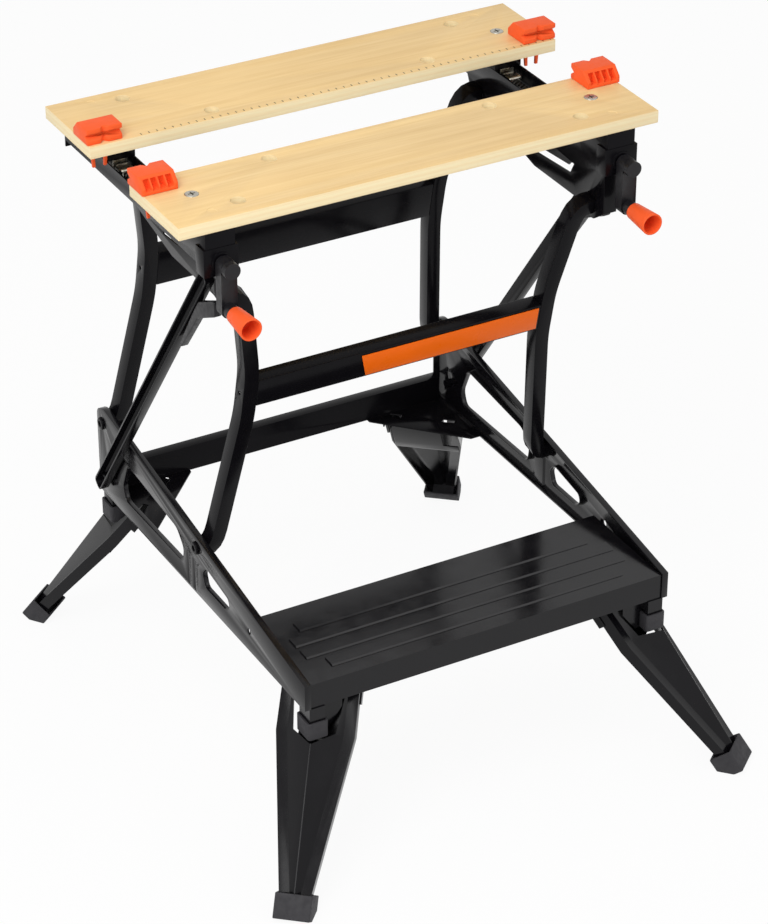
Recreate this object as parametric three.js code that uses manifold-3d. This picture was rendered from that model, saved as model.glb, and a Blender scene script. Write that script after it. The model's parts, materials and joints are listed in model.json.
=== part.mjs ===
// A folding workbench: two wooden jaws on vice beams, two H-frames that fold forward over a
// step, and four legs that fold in under the base.
// Millimetres. +X runs along the jaws, -Y is the step side and +Z is up.
// The origin is on the floor, midway between the four feet.
import * as THREE from 'three';
import { mergeVertices } from 'three/addons/utils/BufferGeometryUtils.js';
import Module from 'manifold-3d';

const wasm = await Module();
wasm.setup();

// Clearances, sheet metal and smoothness
const GAP = 0.3;
const SHEET = 2;
const ROUND_SIDES = 12;
const CURVE_STEPS = 4;

// Jaws: two boards with a gap between them, the front one fixed
const JAW_LENGTH = 610;
const JAW_DEPTH = 123.5;
const JAW_THICKNESS = 15;
const TOP_HEIGHT = 772.5;
const FRONT_JAW_Y = -119;
const JAW_OPENING = 102.6;
const REAR_JAW_Y = FRONT_JAW_Y + JAW_DEPTH + JAW_OPENING;
const JAW_BOTTOM = TOP_HEIGHT - JAW_THICKNESS;
const PEG_RADIUS = 9;
const PEG_ROW = 105;
const PEG_ROW_BACK = 30;
const PEG_X = 142;
const PEG_X_BACK = 218.5;
const DOG_X = 285;
const DOG_HALF = 22;
const DOG_DEPTH = 19;
const DOG_HEIGHT = 19;
const DOG_POCKETS = [-13.5, -4.5, 4.5, 13.5];
const PRONG_FROM = 6;
const PRONG_TO = 10.2;
const PRONG_HALF = 2.2;
const PRONG_DROP = 22;
const JAW_BOLT_DEPTH = 68;
const JAW_BOLT_REAR_DEPTH = 55;

// Base: two side plates, a step at the front and a channel at the rear
const PLATE_X = 243;
const PLATE_RIM = 8;
const BASE_BOTTOM = 217;
const BASE_TOP = 251;
const PLATE_FRONT = -277;
const PLATE_REAR = 272;
const PLATE_REAR_TOP = 341;
const BASE_INSIDE = PLATE_X - PLATE_RIM - GAP;
const STEP_TOP = 249;
const STEP_FRONT = -275;
const STEP_REAR = -124;
const STEP_RIBS = [
  { y: -244, half: 195 },
  { y: -218, half: 214 },
  { y: -192, half: 214 },
  { y: -165, half: 195 },
];
const RIB_BASE = 10;
const RIB_TOP = 8;
const RIB_RISE = 2;
const CHANNEL_FRONT = 256;
const CHANNEL_TOP = 252;
const POST_X = 227;
const POST_Y = 264;
const POST_HALF_X = 10;
const POST_HALF_Y = 12.5;
const CAP_WALL = 3;
const CAP_FLOOR = 10;
const CAP_BOTTOM = 176;
const CAP_TOP = 198;
const BRACKET_REACH = 28;

// Legs: hinged on a diagonal line across each corner of the base, with a ridge that wraps round the stub post
const LEG_HINGE_X = 190;
const LEG_HINGE_Y = 222;
const LEG_HINGE_Z = 210;
const LEG_HEADING = THREE.MathUtils.degToRad(50);
const LEG_TILT_DEGREES = 36;
const LEG_TILT = THREE.MathUtils.degToRad(LEG_TILT_DEGREES);
const LEG_SKIN = 2;
const LEG_EAR_RADIUS = 5.5;
const LEG_EAR_FROM = 44;
const LEG_EAR_TO = 47;
const LEG_PIN_RADIUS = 2.3;
const SHOE_RIM = 245;
const SHOE_END = 275;
const SHOE_WALL = 2.5;
const SHOE_FRONT = 34.2;
const SHOE_BACK = 4;
const SHOE_FRONT_HALF = 21.5;
const SHOE_BACK_HALF = 24;

// Folding frames: two H-frames of the same shape that stay parallel
const FRONT_PIVOT = { y: -2, z: 282 };
const REAR_PIVOT = { y: 258, z: 318 };
const LINK = { y: -84, z: 375 };
const LINK_LENGTH = Math.hypot(LINK.y, LINK.z);
const FRAME_LEAN = Math.atan2(-LINK.y, LINK.z);
const FRONT_TOP = { y: FRONT_PIVOT.y + LINK.y, z: FRONT_PIVOT.z + LINK.z };
const REAR_TOP = { y: REAR_PIVOT.y + LINK.y, z: REAR_PIVOT.z + LINK.z };
const UPRIGHT_WIDTH = 18;
const UPRIGHT_DEPTH = 19.5;
const UPRIGHT_SWEEP = 14.5;
const WAIST_X = 196.5;
const WAIST_FROM = 198;
const WAIST_TO = 266;
const BOLT_RADIUS = 5;
const BOLT_HEAD = 8;
const BOLT_HEAD_LENGTH = 3;

// Diagonal struts outside the plates, each with a latch lever
const STRUT_PIVOT = { y: 240, z: 250 };
const STRUT_END = { y: -73, z: 678 };
const STRUT_LENGTH = Math.hypot(STRUT_END.y - STRUT_PIVOT.y, STRUT_END.z - STRUT_PIVOT.z);
const STRUT_LEAN = Math.atan2(STRUT_PIVOT.y - STRUT_END.y, STRUT_END.z - STRUT_PIVOT.z);
const STRUT_X = 247;
const STRUT_WIDTH = 18;
const STRUT_FLANGE = 11;
const STRUT_BOLT_HEAD = 6.3;
const LATCH_LENGTH = 84;
const LATCH_SLACK = 0.8;
const LATCH_PIVOT = STRUT_LENGTH - 46;

// Vice beams, lead screws and cranks
const BEAM_X = 256;
const BEAM_HALF = 18;
const BEAM_BOTTOM = 706;
const BEAM_TOP = 735;
const BEAM_FRONT = -114;
const BEAM_REAR = 252;
const WALL_BOTTOM = 650;
const WALL_RISE_FROM = 40;
const WALL_SLOT = [[-40, 675.5], [-48, 690], [-42, 690], [-37, 684.5], [62, 677], [62, 668]];
const SCREW_Z = 721;
const SCREW_RADIUS = 6.5;
const SCREW_REAR = 240;
const BEARING_FRONT = -120.5;
const BEARING_HALF = 21;
const BEARING_TOP = 738.5;
const BEARING_BOSS = 12.6;
const CRANK_BACK = -125;
const CRANK_FRONT = -139;
const CRANK_DROP = 51;
const CRANK_HALF = 9.7;
const GRIP_BACK = -150;
const GRIP_FRONT = -190;
const SPINDLE_LENGTH = 18;

// Paints and materials
const blackSteel = new THREE.MeshStandardMaterial({ color: 0x1c1b1d, roughness: 0.45, metalness: 0.4 });
const wood = new THREE.MeshStandardMaterial({ color: 0xe3c088, roughness: 0.6, metalness: 0 });
const orangePlastic = new THREE.MeshStandardMaterial({ color: 0xfa5f32, roughness: 0.45, metalness: 0 });
const orangePaint = new THREE.MeshStandardMaterial({ color: 0xf56405, roughness: 0.4, metalness: 0 });
const blackPlastic = new THREE.MeshStandardMaterial({ color: 0x232225, roughness: 0.5, metalness: 0 });
const rubber = new THREE.MeshStandardMaterial({ color: 0x3b3a3c, roughness: 0.8, metalness: 0 });
const zinc = new THREE.MeshStandardMaterial({ color: 0xb8b4aa, roughness: 0.35, metalness: 0.9 });

// Solids: every shape below is a closed solid that can be joined and cut

function solidFrom(geometry) {
  const plain = geometry.clone();
  plain.deleteAttribute('normal');
  plain.deleteAttribute('uv');
  const merged = mergeVertices(plain, 1e-4);
  const mesh = new wasm.Mesh({
    numProp: 3,
    vertProperties: merged.attributes.position.array,
    triVerts: new Uint32Array(merged.index.array),
  });
  return new wasm.Manifold(mesh);
}

function geometryFrom(solid) {
  const mesh = solid.getMesh();
  const geometry = new THREE.BufferGeometry();
  geometry.setAttribute('position', new THREE.BufferAttribute(mesh.vertProperties, 3));
  geometry.setIndex(new THREE.BufferAttribute(mesh.triVerts, 1));
  geometry.computeVertexNormals();
  return geometry;
}

function join(first, ...rest) {
  return rest.reduce((whole, solid) => whole.add(solid), first);
}

function cut(first, ...tools) {
  return tools.reduce((whole, solid) => whole.subtract(solid), first);
}

// A box from three [low, high] pairs.
function block(x, y, z) {
  const geometry = new THREE.BoxGeometry(x[1] - x[0], y[1] - y[0], z[1] - z[0]);
  geometry.translate((x[0] + x[1]) / 2, (y[0] + y[1]) / 2, (z[0] + z[1]) / 2);
  return solidFrom(geometry);
}

// A closed outline through [a, b] points. A third number rounds that corner.
function outline(points) {
  const shape = new THREE.Shape();
  points.forEach(([a, b, rounding = 0], i) => {
    const corner = new THREE.Vector2(a, b);
    const before = new THREE.Vector2(...points.at(i - 1)).sub(corner).setLength(rounding).add(corner);
    const after = new THREE.Vector2(...points[(i + 1) % points.length]).sub(corner);
    after.setLength(rounding).add(corner);
    if (i === 0) {
      shape.moveTo(before.x, before.y);
    } else {
      shape.lineTo(before.x, before.y);
    }
    if (rounding > 0) {
      shape.quadraticCurveTo(a, b, after.x, after.y);
    }
  });
  return shape;
}

// How an outline's two axes and its depth lie for a prism along X (outline in Y, Z),
// along Y (outline in X, Z) or along Z (outline in X, Y).
const X = new THREE.Vector3(1, 0, 0);
const Y = new THREE.Vector3(0, 1, 0);
const Z = new THREE.Vector3(0, 0, 1);
const PRISM_BASIS = {
  x: new THREE.Matrix4().makeBasis(Y, Z, X),
  y: new THREE.Matrix4().makeBasis(X, Z, Y.clone().negate()),
  z: new THREE.Matrix4().makeBasis(X, Y, Z),
};

function prism(axis, shape, low, high) {
  const depth = high - low;
  const settings = { depth, bevelEnabled: false, curveSegments: CURVE_STEPS };
  const geometry = new THREE.ExtrudeGeometry(shape, settings);
  geometry.applyMatrix4(PRISM_BASIS[axis]);
  const start = { x: [low, 0, 0], y: [0, high, 0], z: [0, 0, low] }[axis];
  geometry.translate(...start);
  return solidFrom(geometry);
}

// A turned solid about a line along X or Y. Its profile is [radius, place along the line] points.
function turned(axis, centre, profile, sides = ROUND_SIDES) {
  const geometry = new THREE.LatheGeometry(profile.map(([r, along]) => new THREE.Vector2(r, along)), sides);
  if (axis === 'x') {
    geometry.rotateZ(-Math.PI / 2);
    geometry.translate(0, centre[0], centre[1]);
  } else {
    geometry.translate(centre[0], 0, centre[1]);
  }
  return solidFrom(geometry);
}

// A round rod along X, Y or Z, at its place in the other two.
function rod(axis, centre, radius, low, high, sides = ROUND_SIDES) {
  const geometry = new THREE.CylinderGeometry(radius, radius, high - low, sides);
  const middle = (low + high) / 2;
  if (axis === 'x') {
    geometry.rotateZ(-Math.PI / 2).translate(middle, centre[0], centre[1]);
  } else if (axis === 'y') {
    geometry.translate(centre[0], middle, centre[1]);
  } else {
    geometry.rotateX(Math.PI / 2).translate(centre[0], centre[1], middle);
  }
  return solidFrom(geometry);
}

// A closed skin over sections of equally many [x, y] points, one at each height z.
function loft(sections) {
  const count = sections[0].points.length;
  const positions = sections.flatMap(({ z, points }) => points.flatMap(([x, y]) => [x, y, z]));
  const index = [];
  for (let level = 0; level < sections.length - 1; level += 1) {
    for (let i = 0; i < count; i += 1) {
      const low = level * count + i;
      const lowNext = level * count + ((i + 1) % count);
      index.push(low, lowNext, lowNext + count, low, lowNext + count, low + count);
    }
  }
  const last = (sections.length - 1) * count;
  const contour = sections[0].points.map(([x, y]) => new THREE.Vector2(x, y));
  for (const [a, b, c] of THREE.ShapeUtils.triangulateShape(contour, [])) {
    index.push(a, c, b, last + a, last + b, last + c);
  }
  const geometry = new THREE.BufferGeometry();
  geometry.setAttribute('position', new THREE.Float32BufferAttribute(positions, 3));
  geometry.setIndex(index);
  return solidFrom(geometry);
}

const bench = new THREE.Group();

function addMesh(parent, name, solid, material) {
  const mesh = new THREE.Mesh(geometryFrom(solid), material);
  mesh.name = name;
  parent.add(mesh);
}

// The right half of the bench. The left half is its mirror image.
const SIDES = { left: -1, right: 1 };

function sideGroup(sign, place = { y: 0, z: 0 }, lean = 0) {
  const group = new THREE.Group();
  group.position.set(0, place.y, place.z);
  group.rotation.x = lean;
  group.scale.x = sign;
  bench.add(group);
  return group;
}

// Base

function plateOutline(inset) {
  const low = BASE_BOTTOM + inset;
  return outline([
    [PLATE_FRONT + inset, low],
    [PLATE_REAR - inset, low, 6],
    [PLATE_REAR - inset, PLATE_REAR_TOP - 8 - inset, 8],
    [PLATE_REAR - 17 - inset, PLATE_REAR_TOP - inset, 8],
    [PLATE_FRONT + inset, BASE_TOP - inset],
  ]);
}

function basePlate() {
  const inner = PLATE_X - PLATE_RIM;
  const web = PLATE_X - SHEET;
  const tray = cut(
    prism('x', plateOutline(0), inner, PLATE_X),
    prism('x', plateOutline(SHEET), inner - 1, web),
  );
  const rearWindow = outline([
    [36, 240, 8],
    [196, 238, 8],
    [204, 257, 8],
    [186, 296, 8],
    [50, 282, 8],
    [31, 262, 8],
  ]);
  const frontWindow = outline([
    [-24, 238, 6],
    [-80, 238, 6],
    [-90, 248, 6],
    [-85, 258, 4],
    [-28, 268, 5],
    [-17, 256, 6],
  ]);
  const boltHole = BOLT_RADIUS + GAP;
  return cut(
    tray,
    prism('x', rearWindow, inner, PLATE_X + 1),
    prism('x', frontWindow, inner, PLATE_X + 1),
    rod('x', [FRONT_PIVOT.y, FRONT_PIVOT.z], boltHole, inner, PLATE_X + 1),
    rod('x', [REAR_PIVOT.y, REAR_PIVOT.z], boltHole, inner, PLATE_X + 1),
    rod('x', [STRUT_PIVOT.y, STRUT_PIVOT.z], boltHole, inner, PLATE_X + 1),
    rod('x', [-139, 244], 4, inner, PLATE_X + 1),
    rod('x', [REAR_PIVOT.y, REAR_PIVOT.z], UPRIGHT_SWEEP, inner - 1, web),
  );
}

// A corner of the base seen from its hinge line: u runs outwards to the foot, v along the line.
function cornerPoint(u, v) {
  const x = LEG_HINGE_X + u * Math.cos(LEG_HEADING) + v * Math.sin(LEG_HEADING);
  const y = LEG_HINGE_Y + u * Math.sin(LEG_HEADING) - v * Math.cos(LEG_HEADING);
  return [x, y];
}

function cornerBlock(u, v, z) {
  const corners = [[u[0], v[0]], [u[1], v[0]], [u[1], v[1]], [u[0], v[1]]];
  return prism('z', outline(corners.map(([a, b]) => cornerPoint(a, b))), z[0], z[1]);
}

// Gusset, stub post and leg hinge of the rear right corner, with the slots beside the hinge.
function cornerGusset(edge) {
  const plate = outline([[128, edge], [128, 250], [222, 150], [BASE_INSIDE, 150], [BASE_INSIDE, edge]]);
  const [postIn, postOut] = [POST_X - POST_HALF_X, POST_X + POST_HALF_X];
  const [postNear, postFar] = [POST_Y - POST_HALF_Y, POST_Y + POST_HALF_Y];
  const postTop = BASE_BOTTOM - GAP;
  const bracket = [
    [postIn + 1, BASE_BOTTOM + 1],
    [postIn + 1, CAP_TOP + 1],
    [postIn - CAP_WALL - 1, CAP_TOP + 1],
    [postIn - CAP_WALL - 1, CAP_BOTTOM],
    [postIn - CAP_WALL - 7, CAP_BOTTOM],
    [postIn - BRACKET_REACH, CAP_TOP + 2],
    [postIn - BRACKET_REACH, BASE_BOTTOM + 1],
  ];
  const pieces = [
    prism('z', plate, BASE_BOTTOM, BASE_BOTTOM + SHEET),
    block([postIn, postOut], [postNear, postFar], [CAP_BOTTOM + CAP_FLOOR, postTop]),
    block([postIn, BASE_INSIDE], [postNear, edge], [postTop - 1, BASE_BOTTOM + 1]),
    prism('y', outline(bracket), POST_Y - SHEET / 2, POST_Y + SHEET / 2),
  ];
  for (const side of [-1, 1]) {
    const lug = [side * (LEG_EAR_TO + 1), side * (LEG_EAR_TO + 3)].sort((a, b) => a - b);
    const pin = [side * (LEG_EAR_FROM - 2), side * (LEG_EAR_TO + 2)].sort((a, b) => a - b);
    pieces.push(cornerBlock([-5, 5], lug, [LEG_HINGE_Z - LEG_EAR_RADIUS, BASE_BOTTOM + 1]));
    const across = new THREE.CylinderGeometry(LEG_PIN_RADIUS, LEG_PIN_RADIUS, pin[1] - pin[0], 8);
    const [x, y] = cornerPoint(0, (pin[0] + pin[1]) / 2);
    across.rotateZ(LEG_HEADING - Math.PI);
    across.translate(x, y, LEG_HINGE_Z);
    pieces.push(solidFrom(across));
  }
  const slots = [-1, 1].map((side) => {
    const along = [side * 27, side * 43].sort((a, b) => a - b);
    return cornerBlock([-2, 6], along, [BASE_BOTTOM - 0.1, BASE_BOTTOM + SHEET + 1]);
  });
  return cut(join(...pieces), ...slots);
}

function mirrored(solid, x, y) {
  let image = solid;
  if (x < 0) {
    image = image.mirror([1, 0, 0]);
  }
  if (y < 0) {
    image = image.mirror([0, 1, 0]);
  }
  return image;
}

function step() {
  const ends = BASE_INSIDE;
  const tread = [
    block([-ends, ends], [STEP_FRONT, STEP_REAR], [STEP_TOP - SHEET, STEP_TOP]),
    block([-ends, ends], [STEP_FRONT, STEP_FRONT + SHEET], [BASE_BOTTOM, STEP_TOP]),
    block([-ends, ends], [STEP_REAR - SHEET, STEP_REAR], [STEP_TOP - 14, STEP_TOP]),
    block([-ends, SHEET - ends], [STEP_FRONT, STEP_REAR], [BASE_BOTTOM, STEP_TOP]),
    block([ends - SHEET, ends], [STEP_FRONT, STEP_REAR], [BASE_BOTTOM, STEP_TOP]),
  ];
  for (const { y, half } of STEP_RIBS) {
    const rib = outline([
      [y - RIB_BASE, STEP_TOP - 1],
      [y + RIB_BASE, STEP_TOP - 1],
      [y + RIB_TOP, STEP_TOP + RIB_RISE],
      [y - RIB_TOP, STEP_TOP + RIB_RISE],
    ]);
    tread.push(prism('x', rib, -half, half));
  }
  const corner = cornerGusset(-STEP_FRONT);
  return join(...tread, mirrored(corner, 1, -1), mirrored(corner, -1, -1));
}

function rearCrossmember() {
  const ends = BASE_INSIDE;
  const rear = PLATE_REAR - 1;
  const channel = [
    block([-ends, ends], [CHANNEL_FRONT, CHANNEL_FRONT + SHEET], [BASE_BOTTOM, CHANNEL_TOP]),
    block([-ends, ends], [CHANNEL_FRONT, rear], [CHANNEL_TOP - SHEET, CHANNEL_TOP]),
    block([-ends, ends], [CHANNEL_FRONT, rear], [BASE_BOTTOM, BASE_BOTTOM + SHEET]),
  ];
  const corner = cornerGusset(rear);
  return join(...channel, corner, mirrored(corner, -1, 1));
}

function stubCap() {
  const [x, y] = [POST_HALF_X + CAP_WALL, POST_HALF_Y + CAP_WALL];
  const [pocketX, pocketY] = [POST_HALF_X + GAP, POST_HALF_Y + GAP];
  const base = outline([[-x, -y, 4], [x, -y, 4], [x, y, 4], [-x, y, 4]]);
  return cut(
    prism('z', base, CAP_BOTTOM, CAP_TOP),
    block([-pocketX, pocketX], [-pocketY, pocketY], [CAP_BOTTOM + CAP_FLOOR - GAP, CAP_TOP + 1]),
  );
}

// Legs, modelled upright with the hinge at the origin and the ridge towards +X.
// At each place along it: the ridge, the flat strips from half to spread, and the back edge of their lips.
const LEG_STATIONS = [
  { along: -8, ridge: 40, strip: 12.5, half: 32.5, spread: 45, back: -0.5 },
  { along: 63, ridge: 40, strip: 14.5, half: 33, spread: 46, back: 0 },
  { along: 262, ridge: 30.5, strip: 27, half: 4, spread: 16.5, back: 13.5 },
];
const LEG_LEVELS = [262, SHOE_RIM, 213, 163, 113, 63, -8];

function legStation(along) {
  const upper = along <= LEG_STATIONS[1].along;
  const [from, to] = upper ? LEG_STATIONS.slice(0, 2) : LEG_STATIONS.slice(1, 3);
  const share = (along - from.along) / (to.along - from.along);
  const blend = (key) => [key, THREE.MathUtils.lerp(from[key], to[key], share)];
  return Object.fromEntries(['ridge', 'strip', 'half', 'spread', 'back'].map(blend));
}

// The section of bent sheet: along its outside from lip to lip, then back along its inside.
function legSection({ ridge, strip, half, spread, back }) {
  const outside = [[back, spread], [strip, spread], [strip, half]];
  const inside = [
    [strip - LEG_SKIN, half - 0.35 * LEG_SKIN],
    [strip - LEG_SKIN, spread - LEG_SKIN],
    [back, spread - LEG_SKIN],
  ];
  const opposite = (points) => points.map(([x, y]) => [x, -y]);
  return [
    ...opposite(outside),
    [ridge, 0],
    ...outside.toReversed(),
    ...inside.toReversed(),
    [ridge - 1.3 * LEG_SKIN, 0],
    ...opposite(inside),
  ];
}

// A slab of the room above or below a height, as the upright leg sees it.
function levelSlab(low, high) {
  return block([-500, 500], [-100, 100], [low, high]).rotate([0, LEG_TILT_DEGREES, 0]);
}

// The leg's slanting top butts against the base, and its notch straddles the stub post.
function leg() {
  const shell = loft(LEG_LEVELS.map((along) => ({ z: -along, points: legSection(legStation(along)) })));
  const notch = outline([[-33, 20], [33, 20], [31, -5], [25, -60], [0, -75], [-25, -60], [-31, -5]]);
  const underBase = BASE_BOTTOM - LEG_HINGE_Z - 2.5;
  const pieces = [cut(shell, prism('x', notch, -30, 60), levelSlab(underBase, 400))];
  for (const side of [-1, 1]) {
    const [low, high] = [side * LEG_EAR_FROM, side * LEG_EAR_TO].sort((a, b) => a - b);
    pieces.push(rod('y', [0, 0], LEG_EAR_RADIUS, low, high));
    pieces.push(block([-LEG_EAR_RADIUS, 3], [low, high], [-24, 0]));
  }
  const bore = rod('y', [0, 0], LEG_PIN_RADIUS + GAP, -LEG_EAR_TO - 1, LEG_EAR_TO + 1, 8);
  return cut(join(...pieces), bore);
}

// The shoe is a socket around the leg's end, cut flat at the floor.
function legShoe() {
  const section = (wall) => outline([
    [SHOE_BACK + wall, wall - SHOE_BACK_HALF],
    [SHOE_FRONT - wall, wall - SHOE_FRONT_HALF],
    [SHOE_FRONT - wall, SHOE_FRONT_HALF - wall],
    [SHOE_BACK + wall, SHOE_BACK_HALF - wall],
  ]);
  const body = prism('z', section(0), -SHOE_END, -SHOE_RIM);
  const pocket = prism('z', section(SHOE_WALL), -LEG_LEVELS[0] - GAP, 1 - SHOE_RIM);
  return cut(body, pocket, levelSlab(-600, -LEG_HINGE_Z));
}

const CORNERS = {
  front_left: [-1, -1],
  front_right: [1, -1],
  rear_left: [-1, 1],
  rear_right: [1, 1],
};

function addBase() {
  for (const [side, sign] of Object.entries(SIDES)) {
    addMesh(sideGroup(sign), `base_plate_${side}`, basePlate(), blackSteel);
  }
  addMesh(bench, 'step', step(), blackSteel);
  addMesh(bench, 'rear_crossmember', rearCrossmember(), blackSteel);
  for (const [corner, [x, y]] of Object.entries(CORNERS)) {
    const stub = new THREE.Group();
    stub.position.set(x * POST_X, y * POST_Y, 0);
    bench.add(stub);
    addMesh(stub, `stub_cap_${corner}`, stubCap(), rubber);

    const hinge = new THREE.Group();
    hinge.position.set(x * LEG_HINGE_X, y * LEG_HINGE_Y, LEG_HINGE_Z);
    hinge.rotation.z = Math.atan2(y * Math.sin(LEG_HEADING), x * Math.cos(LEG_HEADING));
    const tilted = new THREE.Group();
    tilted.rotation.y = -LEG_TILT;
    hinge.add(tilted);
    bench.add(hinge);
    addMesh(tilted, `leg_${corner}`, leg(), blackSteel);
    addMesh(tilted, `leg_shoe_${corner}`, legShoe(), rubber);
  }
}

// Folding frames, modelled upright with the lower pivot at the origin

const STUB_LOW = PLATE_X - SHEET - GAP;
const STUB_HIGH = BEAM_X - BEAM_HALF - GAP;

// The upright's centre line: out to the plate at the bottom, in at the waist, out to the beam at the top.
function uprightLine() {
  const lowSlope = 0.122;
  const highSlope = 0.168;
  const lowX = (s) => WAIST_X + lowSlope * (WAIST_FROM - s);
  const highX = (s) => WAIST_X + highSlope * (s - WAIST_TO);
  const line = new THREE.Path();
  line.moveTo(STUB_LOW, 0);
  line.lineTo(232, 0);
  line.quadraticCurveTo(lowX(0), 0, lowX(26), 26);
  line.lineTo(lowX(180), 180);
  line.quadraticCurveTo(WAIST_X, WAIST_FROM, WAIST_X, WAIST_FROM + 18);
  line.lineTo(WAIST_X, WAIST_TO - 18);
  line.quadraticCurveTo(WAIST_X, WAIST_TO, highX(WAIST_TO + 18), WAIST_TO + 18);
  line.lineTo(highX(355), 355);
  line.quadraticCurveTo(highX(LINK_LENGTH), LINK_LENGTH, 230, LINK_LENGTH);
  line.lineTo(STUB_HIGH, LINK_LENGTH);
  return line.getPoints(CURVE_STEPS);
}

// The outline of a strip of even width along a line, shortened at both ends.
function strip(line, half, shorten = 0) {
  const left = [];
  const right = [];
  line.forEach((point, i) => {
    const before = line[Math.max(i - 1, 0)];
    const after = line[Math.min(i + 1, line.length - 1)];
    const inwards = after.clone().sub(point).normalize();
    const outwards = point.clone().sub(before).normalize();
    const along = inwards.add(outwards).normalize();
    const centre = point.clone();
    if (i === 0) {
      centre.addScaledVector(along, shorten);
    }
    if (i === line.length - 1) {
      centre.addScaledVector(along, -shorten);
    }
    left.push([centre.x - along.y * half, centre.y + along.x * half]);
    right.push([centre.x + along.y * half, centre.y - along.x * half]);
  });
  return outline([...left, ...right.reverse()]);
}

function upright() {
  const line = uprightLine();
  const half = UPRIGHT_DEPTH / 2;
  const wall = strip(line, UPRIGHT_WIDTH / 2);
  const hollow = strip(line, UPRIGHT_WIDTH / 2 - SHEET, SHEET + 0.5);
  const hole = BOLT_RADIUS + GAP;
  return cut(
    prism('y', wall, -half, half),
    prism('y', hollow, SHEET - half, half + 1),
    rod('x', [0, 0], hole, 226, STUB_LOW + 1),
    rod('x', [0, LINK_LENGTH], hole, 226, STUB_HIGH + 1),
  );
}

// A channel between the uprights, open at the back.
function crossChannel(low, high) {
  const end = WAIST_X - UPRIGHT_WIDTH / 2 - GAP;
  const half = UPRIGHT_DEPTH / 2;
  return cut(
    block([-end, end], [-half, half], [low, high]),
    block([SHEET - end, end - SHEET], [SHEET - half, half + 1], [low + SHEET, high - SHEET]),
  );
}

// A bolt along X from its end out to its head, which sits at the seat. A collar is a [low, high] spacer.
function crossBolt(place, seat, end, head = BOLT_HEAD, collar = null) {
  const face = seat + BOLT_HEAD_LENGTH;
  const profile = [[0, end], [BOLT_RADIUS, end]];
  if (collar) {
    const [low, high] = collar;
    profile.push([BOLT_RADIUS, low], [BOLT_RADIUS + 2, low], [BOLT_RADIUS + 2, high], [BOLT_RADIUS, high]);
  }
  profile.push([BOLT_RADIUS, seat], [head, seat], [head, face - 1], [head - 2, face], [0, face]);
  return turned('x', [place.y, place.z], profile);
}

function addFrames() {
  const plateFace = PLATE_X + GAP;
  const lugFace = BEAM_X - BEAM_HALF + SHEET + GAP;
  const frames = { front: [FRONT_PIVOT, FRONT_TOP], rear: [REAR_PIVOT, REAR_TOP] };
  for (const [side, sign] of Object.entries(SIDES)) {
    for (const [frame, [pivot, top]] of Object.entries(frames)) {
      addMesh(sideGroup(sign, pivot, FRAME_LEAN), `${frame}_upright_${side}`, upright(), blackSteel);
      const baseBolt = crossBolt(pivot, plateFace, PLATE_X - 12);
      addMesh(sideGroup(sign), `${frame}_base_bolt_${side}`, baseBolt, blackSteel);
      const topBolt = crossBolt(top, lugFace, lugFace - 13);
      addMesh(sideGroup(sign), `${frame}_top_bolt_${side}`, topBolt, blackSteel);
    }
  }
  const front = sideGroup(1, FRONT_PIVOT, FRAME_LEAN);
  addMesh(front, 'front_crossbar', crossChannel(214, 251), blackSteel);
  const face = -UPRIGHT_DEPTH / 2 - GAP;
  const plate = outline([[-46, 217], [184, 217], [184, 248], [-54, 248]]);
  addMesh(front, 'colour_plate', prism('y', plate, face - 1.2, face), orangePaint);
  const rear = sideGroup(1, REAR_PIVOT, FRAME_LEAN);
  addMesh(rear, 'rear_panel', crossChannel(212, 262), blackSteel);
}

// Struts, modelled upright with the lower pivot at the origin

function strut() {
  const half = STRUT_WIDTH / 2;
  const low = -14;
  const high = STRUT_LENGTH + 8;
  const side = outline([[-half, low, 7], [half, low, 7], [half, high, 5], [-half, high, 5]]);
  const inside = outline([
    [SHEET - half, low + SHEET, 6],
    [half - SHEET, low + SHEET, 6],
    [half - SHEET, high - SHEET, 4],
    [SHEET - half, high - SHEET, 4],
  ]);
  return cut(
    prism('x', side, STRUT_X, STRUT_X + STRUT_FLANGE),
    prism('x', inside, STRUT_X + SHEET, STRUT_X + STRUT_FLANGE + 1),
    rod('x', [0, 0], BOLT_RADIUS + GAP, STRUT_X - 1, STRUT_X + SHEET + 1),
  );
}

// The latch lever on the strut's front edge, with the hook that reaches for the front frame's top bolt.
function latch() {
  const edge = -STRUT_WIDTH / 2 - LATCH_SLACK;
  const side = outline([
    [edge - 9, LATCH_PIVOT - LATCH_LENGTH, 2],
    [edge - 4, LATCH_PIVOT - LATCH_LENGTH, 2],
    [edge, LATCH_PIVOT - 14],
    [edge, LATCH_PIVOT + 10, 3],
    [edge - 22, LATCH_PIVOT + 50, 4],
    [edge - 34, LATCH_PIVOT + 35, 4],
    [edge - 11, LATCH_PIVOT - 10, 4],
  ]);
  return prism('x', side, STRUT_X + 1, STRUT_X + STRUT_FLANGE - 1);
}

function addStruts() {
  for (const [side, sign] of Object.entries(SIDES)) {
    const leaning = sideGroup(sign, STRUT_PIVOT, STRUT_LEAN);
    addMesh(leaning, `strut_${side}`, strut(), blackSteel);
    addMesh(leaning, `latch_${side}`, latch(), blackPlastic);
    const seat = STRUT_X + SHEET + GAP;
    const spacer = [PLATE_X + GAP, STRUT_X - GAP];
    const bolt = crossBolt(STRUT_PIVOT, seat, PLATE_X - 8, STRUT_BOLT_HEAD, spacer);
    addMesh(sideGroup(sign), `strut_bolt_${side}`, bolt, blackSteel);
  }
}

// Vice beam: an open channel with a deep, slotted inner wall that carries both frames, a bearing plate
// and the saddle of the front jaw

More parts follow.
